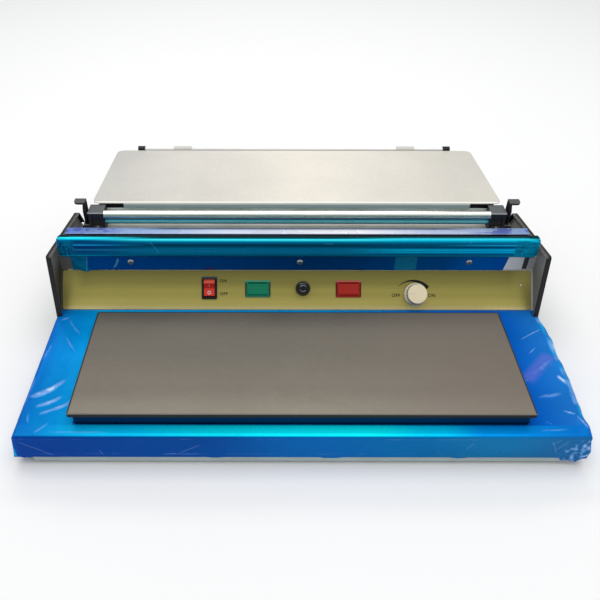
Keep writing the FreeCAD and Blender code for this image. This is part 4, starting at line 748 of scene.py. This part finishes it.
DECK_FOLDS = [
    Fold((-0.2905, -0.1895), (-0.2580, -0.1640), 1.1, 4.0, 0.90, 3.0),
    Fold((-0.2815, -0.2025), (-0.2560, -0.1880), 0.8, 2.8, 0.68, 1.6),
    Fold((-0.2750, -0.2120), (-0.2450, -0.1965), 0.7, 2.3, 0.72, 1.2),
    Fold((-0.2500, -0.1980), (-0.2400, -0.1800), 0.5, 1.6, 0.55, 0.5),
    Fold((-0.2915, -0.1376), (-0.2935, -0.2175), 0.7, 1.5, 0.42),
    Fold((-0.2860, -0.0950), (-0.2925, -0.1400), 0.6, 2.4, 0.36),
    Fold((-0.2786, -0.0640), (-0.2560, -0.0939), 0.5, 1.0, 0.62, 1.5),
    Fold((-0.2753, -0.0939), (-0.2560, -0.1226), 0.5, 1.0, 0.55, 1.0),
    Fold((-0.2900, -0.0680), (-0.2780, -0.0610), 0.5, 1.3, 0.60),
    Fold((-0.2742, -0.2373), (-0.2606, -0.2224), 0.5, 1.8, 0.45, 0.6),
    Fold((-0.2611, -0.2352), (-0.1907, -0.2350), 0.2, 0.8, 0.55),
    Fold((-0.2830, -0.2250), (-0.2870, -0.2100), 0.4, 1.0, 0.60),
    Fold((0.2614, -0.0994), (0.2900, -0.0815), 0.7, 1.0, 0.70),
    Fold((0.2630, -0.1246), (0.2757, -0.1121), 0.5, 0.9, 0.55),
    Fold((0.2557, -0.1572), (0.2876, -0.1306), 1.4, 4.2, 0.36, 1.5),
    Fold((0.2855, -0.1560), (0.2905, -0.1700), 0.9, 1.6, 1.0, 0.5),
    Fold((0.2528, -0.1878), (0.2850, -0.1820), 1.0, 3.2, 0.42, 1.0),
    Fold((0.2754, -0.2063), (0.2879, -0.2113), 0.6, 1.2, 0.85),
    Fold((0.2879, -0.2113), (0.2935, -0.2337), 0.6, 1.1, 0.85),
    Fold((0.2510, -0.2203), (0.2612, -0.2252), 0.5, 1.1, 0.62),
    Fold((0.2420, -0.2330), (0.2760, -0.2310), 0.4, 0.9, 0.50),
    Fold((0.2400, -0.1700), (0.2560, -0.1600), 0.4, 1.2, 0.40),
]

SKIRT_TONGUES = ((-0.283, 0.006, 1.6), (-0.090, 0.008, 1.2), (0.031, 0.012, 2.0), (0.166, 0.009, 1.8),
                 (0.280, 0.012, 6.2))


def skirt_tongue(u):
    """How far the film hangs below the skirt's edge."""
    ragged = 0.7 + 0.5 * noise.noise(Vector((u * 300, 2.0, 0)))
    return sum(depth * MM * ragged * (1 - smooth_share(abs(u - centre), half * 0.55, half))
               for centre, half, depth in SKIRT_TONGUES)


def deck_point(u, v):
    """Unrolls the film's flat place to the deck: down each side past the edge, and down the front."""
    side = math.copysign(1.0, u)
    r = DECK_ROUND + FILM_GAP
    flat_x = DECK_HALF + FILM_GAP - r
    flat_y = DECK_FRONT - FILM_GAP + r
    over_x = abs(u) - flat_x
    over_y = flat_y - v
    x, y, z = u, v, DECK_TOP + FILM_GAP
    quarter = r * math.pi / 2
    nx, ny, nz = 0.0, 0.0, 1.0
    if over_x > 0:
        angle = min(over_x, quarter) / r
        x = side * (flat_x + r * math.sin(angle))
        z = DECK_TOP + FILM_GAP - r + r * math.cos(angle) - max(0.0, over_x - quarter)
        nx, nz = side * math.sin(angle), math.cos(angle)
    if over_y > 0:
        angle = min(over_y, quarter) / r
        y = flat_y - r * math.sin(angle)
        drop = r - r * math.cos(angle) + max(0.0, over_y - quarter)
        z = min(z, DECK_TOP + FILM_GAP - drop)
        ny, nz = -math.sin(angle), math.cos(angle)
    normal = Vector((nx, ny, nz)).normalized()
    return Vector((x, y, z)), normal


def deck_lift(u, v):
    """How far the film stands off the deck at its flat place."""
    edge = smooth_share(abs(u), 0.240, 0.262)
    p = Vector((u * 30, v * 30, 0.3))
    loose = 0.00012 * (noise.fractal(p, 1.0, 2.0, 3) + 0.6)
    crumple = 0.00035 * abs(noise.turbulence(Vector((u * 48, v * 36, 1.7)), 3, False)) * edge
    folds = sum(fold.lift * fold.share(u, v) for fold in DECK_FOLDS)
    right_rim = 0.0017 * smooth_share(u, 0.281, 0.291) * (0.6 + noise.noise(Vector((v * 55, 0, 4))))
    corner = 0.0012 * smooth_share(u, 0.268, 0.280) * smooth_share(-v, 0.2415, 0.2460)
    corner *= 0.6 + noise.noise(Vector((u * 150, v * 120, 7)))
    return max(0.0, loose + crumple + folds + right_rim + corner)


def deck_crease(u, v):
    """How milky the film is where it stands off in folds or is crumpled; the same value sets the painted highlights
    along the folds.
    """
    mark = max(fold.pale * fold.share(u, v) for fold in DECK_FOLDS)
    rim = smooth_share(u, 0.287, 0.291) * (1 - smooth_share(u, 0.298, 0.303)) * smooth_share(v, -0.215, -0.20)
    rim *= 0.55 + 0.9 * noise.noise(Vector((u * 90, v * 70, 3)))
    corner = smooth_share(u, 0.262, 0.280) * smooth_share(-v, 0.2415, 0.246)
    corner *= 0.26 + 0.9 * noise.noise(Vector((u * 240, v * 200, 5)))
    return max(mark, 0.55 * rim, corner)


def make_deck_film():
    """Film over the deck's top and its front and side skirts, open under the plate."""
    skirt = DECK_TOP - SKIRT_LOW - DECK_ROUND + (DECK_ROUND + FILM_GAP) * math.pi / 2
    reach_x = DECK_HALF - DECK_ROUND + skirt
    reach_y = DECK_FRONT + DECK_ROUND - skirt
    columns = rows_of((-reach_x, -0.291, 0.0020), (-0.291, -PLATE_BASE_HALF, 0.0011),
                      (-PLATE_BASE_HALF, PLATE_BASE_HALF, 0.0040), (PLATE_BASE_HALF, 0.291, 0.0011),
                      (0.291, reach_x, 0.0014))
    rows = rows_of((reach_y, -0.2365, 0.0016), (-0.2365, PLATE_BASE_FRONT, 0.0011),
                   (PLATE_BASE_FRONT, PLATE_BASE_BACK, 0.0016), (PLATE_BASE_BACK, CHEEK_FOOT, 0.0016),
                   (CHEEK_FOOT, DECK_BACK, 0.0020))
    corner_x = DECK_HALF - DECK_ROUND
    corner_y = DECK_FRONT + DECK_ROUND
    hem = 0.008

    def flare(u, v, point):
        """How far the loose corners of the skirt stand out sideways, and the rim of the right margin."""
        drop = (DECK_TOP - point.z) / (DECK_TOP - SKIRT_LOW)
        corner = smooth_share(abs(u), 0.258, 0.290) * smooth_share(-v, 0.205, 0.238)
        out = (0.0055 if u < 0 else 0.0030) * corner * max(0.0, drop) ** 1.3
        if u > 0:
            along = smooth_share(v, -0.215, -0.17) * (1 - smooth_share(v, -0.085, -0.062))
            wave = 0.75 + 0.6 * noise.noise(Vector((v * 42, 0.0, 9.0)))
            out += 0.0032 * smooth_share(u, 0.278, 0.294) * along * wave
        return math.copysign(out, u)

    def place(u, v):
        point, normal = deck_point(u, v)
        point = point + normal * deck_lift(u, v)
        point.x += flare(u, v, point)
        point.z -= skirt_tongue(u) * smooth_share(reach_y + hem - v, 0.0, hem)
        return point

    def keep(u, v):
        under_plate = abs(u) < PLATE_BASE_HALF and PLATE_BASE_FRONT < v < PLATE_BASE_BACK
        cut_corner = abs(u) > corner_x + 0.004 and v < corner_y - 0.004
        at_cheek = abs(u) > CHEEK_INNER and v > CHEEK_FOOT
        return not (under_plate or cut_corner or at_cheek)

    mesh = grid_mesh("deck_film", columns, rows, place, keep, deck_crease)
    made = new_object("deck_film", mesh, "base", film_deep)
    thick(made, FILM_THICKNESS)


make_deck_film()


# Beam film ends

BEAM_MIDDLE_Y, BEAM_MIDDLE_Z = -0.019, 0.1245
BEAM_HALF_Y, BEAM_HALF_Z = 0.006, 0.014
BEAM_HALF = 0.2879
BEAM_CAP = 0.020
BEAM_ROUNDS = (0.0054, 0.0015, 0.0054, 0.0054)


def beam_outline(step):
    """Points round the beam's section with outward normals, from the front bottom corner by the back."""
    corners = ((-1, -1, 180), (1, -1, 270), (1, 1, 0), (-1, 1, 90))
    points = []
    for (sy, sz, start), r in zip(corners, BEAM_ROUNDS):
        cy, cz = sy * (BEAM_HALF_Y - r), sz * (BEAM_HALF_Z - r)
        count = max(2, round(r * math.pi / 2 / step))
        for i in range(count + 1):
            angle = math.radians(start + 90 * i / count)
            ny, nz = math.cos(angle), math.sin(angle)
            points.append((cy + r * ny, cz + r * nz, ny, nz))
    full = []
    for a, b in zip(points, points[1:] + points[:1]):
        full.append(a)
        gap = math.hypot(b[0] - a[0], b[1] - a[1])
        extra = int(gap / step)
        for i in range(1, extra):
            t = i / extra
            full.append((a[0] + (b[0] - a[0]) * t, a[1] + (b[1] - a[1]) * t, a[2], a[3]))
    return full


def make_beam_ends():
    """The film is gathered round each end of the beam and crinkles towards the tip."""
    outline = beam_outline(0.0006)
    around = len(outline)
    for side, word in ((-1, "left"), (1, "right")):
        mesh = bpy.data.meshes.new("beam_end_film_" + word)
        xs = steps(BEAM_HALF - BEAM_CAP, BEAM_HALF, 0.0006)
        points, faces = [], []
        for i, x in enumerate(xs):
            t = i / (len(xs) - 1)
            close = 1.0 if t < 0.66 else math.sqrt(max(0.02, 1 - ((t - 0.66) / 0.34) ** 2.4))
            loose = smooth_share(t, 0.05, 0.5)
            for k, (y, z, ny, nz) in enumerate(outline):
                p = Vector((y * 420, z * 420, x * 130 + side * 7))
                wrinkle = 0.0007 * (noise.turbulence(p * 0.35, 4, True) - 0.25) * loose
                pleat = 0.0004 * math.sin(k / around * 2 * math.pi * 15 + 4 * noise.noise(p * 0.1)) * loose * t
                grow = 0.00005 + 0.0003 * loose + wrinkle + pleat
                points.append((side * x, BEAM_MIDDLE_Y + (y + ny * grow) * close,
                               BEAM_MIDDLE_Z + (z + nz * grow) * (0.35 + 0.65 * close)))
        for i in range(len(xs) - 1):
            for k in range(around):
                a, b = i * around + k, i * around + (k + 1) % around
                faces.append((a, b, b + around, a + around))
        for row in (0, len(xs) - 1):
            faces.append(tuple(row * around + k for k in range(around)))
        mesh.from_pydata(points, [], faces)
        tidy = bmesh.new()
        tidy.from_mesh(mesh)
        bmesh.ops.recalc_face_normals(tidy, faces=tidy.faces)
        tidy.to_mesh(mesh)
        tidy.free()
        end = new_object("beam_end_film_" + word, mesh, "base", shaders["beam_film"])
        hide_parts("beam_cap_" + word)


make_beam_ends()


# Film on the bracket below the beam

BRACKET_FACE = -0.013


def make_bracket_film():
    """Film on the bracket's front: loose and sagging at its left end, cut on a slant at its right end."""
    left, right = -0.2779, 0.2595
    low_edge, high_edge = 0.0842, 0.1088

    def curl(u, v):
        """Mark of a fold that curls up to the right."""
        x = -0.2300 + 0.013 * v + 0.002 * math.sin(4 * v)
        return math.exp(-((u - x) / 0.0016) ** 2) * smooth_share(v, 0.05, 0.25) * (1 - smooth_share(v, 0.6, 0.8))

    def place(u, v):
        x = u - 0.0045 * (1 - v) * smooth_share(u, 0.238, 0.258)
        sag = 1 - smooth_share(abs(u + 0.2605), 0.001, 0.0125)
        ragged = 0.0007 * noise.noise(Vector((u * 260, 1, 1))) * smooth_share(-u, 0.20, 0.23)
        low = low_edge - 0.0016 * sag + ragged
        z = low + v * (high_edge - low)
        loose = smooth_share(-u, 0.232, 0.250)
        lift = 0.00015 * (noise.fractal(Vector((u * 40, v * 2.5, 2.0)), 1.0, 2.0, 3) + 0.7)
        lift += loose * 0.0009 * (noise.turbulence(Vector((u * 120, v * 3, 5.0)), 3, False) + 0.4)
        lift += 0.0010 * sag * (1 - v) ** 2 + 0.0005 * curl(u, v)
        return Vector((x, BRACKET_FACE - 0.0002 - max(0.0, lift), z))

    def crease_at(u, v):
        return curl(u, v)

    columns = rows_of((left, -0.210, 0.0008), (-0.210, 0.235, 0.0040), (0.235, right, 0.0012))
    mesh = grid_mesh("bracket_film", columns, steps(0, 1, 0.04), place, None, crease_at)
    made = new_object("bracket_film", mesh, "base", bracket_skin)
    thick(made, -0.00012)


make_bracket_film()


# Marks on the panel

def panel_object(name, mesh, x, up, out, shader, body="base"):
    mesh.transform(PANEL @ Matrix.Translation((x * MM, up * MM, out * MM)))
    return new_object(name, mesh, body, shader, smooth=False)


def text_mesh(words, height, bold=0.12):
    curve = bpy.data.curves.new("text", "FONT")
    curve.body = words
    curve.size = height * MM / 0.7
    curve.align_x = "CENTER"
    curve.align_y = "CENTER"
    curve.extrude = 0.00004
    curve.offset = bold * MM
    curve.space_character = 1.12
    holder = bpy.data.objects.new("text", curve)
    bpy.context.scene.collection.objects.link(holder)
    bpy.context.view_layer.update()
    mesh = bpy.data.meshes.new_from_object(holder.evaluated_get(bpy.context.evaluated_depsgraph_get()))
    bpy.data.objects.remove(holder)
    return mesh


def flat_mesh(name, outline, low, high):
    """Plate with a given outline, in millimetres on its own plane."""
    count = len(outline)
    points = [(x * MM, y * MM, low * MM) for x, y in outline] + [(x * MM, y * MM, high * MM) for x, y in outline]
    faces = [tuple(reversed(range(count))), tuple(range(count, 2 * count))]
    faces += [(i, (i + 1) % count, count + (i + 1) % count, count + i) for i in range(count)]
    mesh = bpy.data.meshes.new(name)
    mesh.from_pydata(points, [], faces)
    return mesh


def strip_mesh(name, outer, inner, low, high):
    """Band between two lines of equal length, built from one quad a step so that it stays clean."""
    count = len(outer)
    points = [(x * MM, y * MM, z * MM) for z in (low, high) for line in (outer, inner) for x, y in line]
    faces = []
    for i in range(count - 1):
        a, b, c, d = i, i + 1, count + i, count + i + 1
        up = 2 * count
        faces += [(a, b, d, c), (a + up, c + up, d + up, b + up), (a, a + up, b + up, b), (c, d, d + up, c + up)]
    for i in (0, count - 1):
        faces.append((i, count + i, 3 * count + i, 2 * count + i))
    mesh = bpy.data.meshes.new(name)
    mesh.from_pydata(points, [], faces)
    tidy = bmesh.new()
    tidy.from_mesh(mesh)
    bmesh.ops.recalc_face_normals(tidy, faces=tidy.faces)
    tidy.to_mesh(mesh)
    tidy.free()
    return mesh


def arc_mesh(name, centre, radius, start, end, thickness_at, low, high, count=48):
    """Arc band between two angles whose thickness follows thickness_at(share)."""
    outer, inner = [], []
    for i in range(count + 1):
        t = i / count
        angle = math.radians(start + (end - start) * t)
        c, s = math.cos(angle), math.sin(angle)
        outer.append((centre[0] + radius * c, centre[1] + radius * s))
        r = radius - thickness_at(t)
        inner.append((centre[0] + r * c, centre[1] + r * s))
    return strip_mesh(name, outer, inner, low, high)


INK_LOW, INK_HIGH = -0.03, 0.05

for name, words, x, up, size in (("switch_on_mark", "ON", -92.0, 35.8, 3.7),
                                 ("switch_off_mark", "OFF", -91.2, 19.6, 3.7),
                                 ("dial_off_mark", "OFF", 122.5, 18.0, 3.9),
                                 ("dial_on_mark", "ON", 167.0, 18.0, 3.9)):
    panel_object(name, text_mesh(words, size), x, up, 0.03, ink)

panel_object("dial_arc", arc_mesh("dial_arc", (144.3, 11.3), 26.3, 136, 42, lambda t: 0.5 + 5.0 * t ** 1.2,
                                  INK_LOW, INK_HIGH), 0, 0, 0, ink)


def dome_mesh(name, radius, flat):
    mesh = bpy.data.meshes.new(name)
    made = bmesh.new()
    bmesh.ops.create_uvsphere(made, u_segments=24, v_segments=12, radius=radius * MM)
    for v in made.verts:
        v.co.z = max(-0.0002, v.co.z * flat)
    made.to_mesh(mesh)
    made.free()
    return mesh


def make_rivet():
    rivet = panel_object("panel_rivet", dome_mesh("panel_rivet", 1.3, 0.5), 277.8, 31.0, 0.0, white_ink)
    for polygon in rivet.data.polygons:
        polygon.use_smooth = True


make_rivet()


# Marks on the switch paddle, which lies tilted in its frame

ROCKER_X, ROCKER_UP, ROCKER_PIVOT, ROCKER_TILT = -109.0, 27.0, -2.0, 11.0
PADDLE_SLOPE = 11.28
PADDLE_VALLEY = 2.4


def paddle_object(name, mesh, along, shader):
    """Puts a mark on the paddle's upper or lower face, at a distance along the paddle from its middle."""
    slope = math.copysign(PADDLE_SLOPE, along)
    height = PADDLE_VALLEY + abs(along) * math.tan(math.radians(PADDLE_SLOPE))
    on_face = Matrix.Translation((0, along * MM, height * MM)) @ Matrix.Rotation(math.radians(slope), 4, "X")
    pivot = Matrix.Translation((0, 0, ROCKER_PIVOT * MM))
    tilt = pivot @ Matrix.Rotation(math.radians(ROCKER_TILT), 4, "X") @ pivot.inverted()
    mesh.transform(tilt @ on_face)
    return panel_object(name, mesh, ROCKER_X, ROCKER_UP, 0, shader, "rocker")


paddle_object("paddle_line_mark", flat_mesh("paddle_line_mark", [(-0.4, -1.7), (0.4, -1.7), (0.4, 1.7), (-0.4, 1.7)],
                                            -0.02, 0.06), 4.0, dull_mark)
paddle_object("paddle_ring_mark", arc_mesh("paddle_ring_mark", (0, 0), 2.2, 0, 360, lambda t: 0.75, -0.02, 0.06),
              -4.9, white_mark)

panel_object("knob_line_mark", flat_mesh("knob_line_mark", [(-9.8, -0.35), (-5.2, -0.35), (-5.2, 0.35), (-9.8, 0.35)],
                                         -1.0, 0.03), KNOB_X, KNOB_UP, KNOB_FACE, white_ink, "knob")


# Turn marks on the fuse cap

FUSE_X, FUSE_UP, FUSE_TOP = 7.0, 26.5, 8.25


def make_fuse_marks():
    for name, radius, start, end, width in (("fuse_mark_rim", 6.6, 48, 132, 0.7), ("fuse_mark_upper", 4.4, 25, 150, 1.3),
                                            ("fuse_mark_lower", 4.4, 205, 318, 1.0)):
        mesh = arc_mesh(name, (0, 0), radius, start, end, lambda t: width * (0.6 + 0.6 * t), -0.02, 0.08)
        panel_object(name, mesh, FUSE_X, FUSE_UP, FUSE_TOP, pale_mark, "fuse")


make_fuse_marks()


# Screws that hold the roller housings

def make_housing_screws():
    front = Matrix.Rotation(math.radians(90), 4, "X")
    for side, word in ((-1, "left"), (1, "right")):
        mesh = dome_mesh("housing_screw_" + word, 1.9, 0.55)
        mesh.transform(Matrix.Translation((side * 0.2528, 0.0360, 0.1135)) @ front)
        new_object("housing_screw_" + word, mesh, "base", shaders["zinc"])


make_housing_screws()


# Camera, floor and light

CAMERA_PLACE = (-0.0266, -0.6502, 0.5822)
CAMERA_PITCH = 40.671
CAMERA_ROLL = 0.086
CAMERA_LENS = 39.0
CAMERA_SHIFT = 0.0403


def make_camera():
    data = bpy.data.cameras.new("camera")
    data.lens = CAMERA_LENS
    data.sensor_width = 36.0
    data.shift_x = CAMERA_SHIFT
    data.clip_start = 0.05
    data.clip_end = 20.0
    camera = bpy.data.objects.new("camera", data)
    bpy.context.scene.collection.objects.link(camera)
    turn = Matrix.Rotation(math.radians(90 - CAMERA_PITCH), 4, "X") @ Matrix.Rotation(math.radians(CAMERA_ROLL), 4, "Z")
    camera.matrix_world = Matrix.Translation(CAMERA_PLACE) @ turn
    bpy.context.scene.camera = camera


def make_floor():
    mesh = bpy.data.meshes.new("floor")
    size = 6.0
    mesh.from_pydata([(-size, -size, 0), (size, -size, 0), (size, size, 0), (-size, size, 0)], [], [(0, 1, 2, 3)])
    floor = bpy.data.objects.new("floor", mesh)
    bpy.context.scene.collection.objects.link(floor)
    shader = Shader("floor_white", (0.95, 0.95, 0.95), 0.8)
    shader.tone(shader.noise(3.0), (0.97, 0.97, 0.97), (0.985, 0.985, 0.985))
    mesh.materials.append(shader.material)


def area_light(name, place, target, width, height, power, color=(1, 1, 1)):
    data = bpy.data.lights.new(name, "AREA")
    data.shape = "RECTANGLE"
    data.size = width
    data.size_y = height
    data.energy = power
    data.color = color
    lamp = bpy.data.objects.new(name, data)
    bpy.context.scene.collection.objects.link(lamp)
    lamp.location = place
    direction = Vector(target) - Vector(place)
    lamp.rotation_euler = direction.to_track_quat("-Z", "Y").to_euler()


def make_light():
    world = bpy.data.worlds.new("studio")
    world.use_nodes = True
    background = world.node_tree.nodes["Background"]
    background.inputs["Color"].default_value = (0.96, 0.98, 1.0, 1.0)
    background.inputs["Strength"].default_value = 0.55
    bpy.context.scene.world = world
    area_light("softbox", (0.0, -0.1, 2.4), (0.0, -0.05, 0), 2.8, 2.2, 32.0, (1.0, 0.99, 0.97))
    area_light("back_strip", (-0.15, 1.3, 1.55), (0.0, -0.1, 0.05), 1.6, 0.4, 6.0, (1.0, 0.98, 0.95))


make_camera()
make_floor()
make_light()
bpy.context.scene.view_settings.view_transform = "Standard"
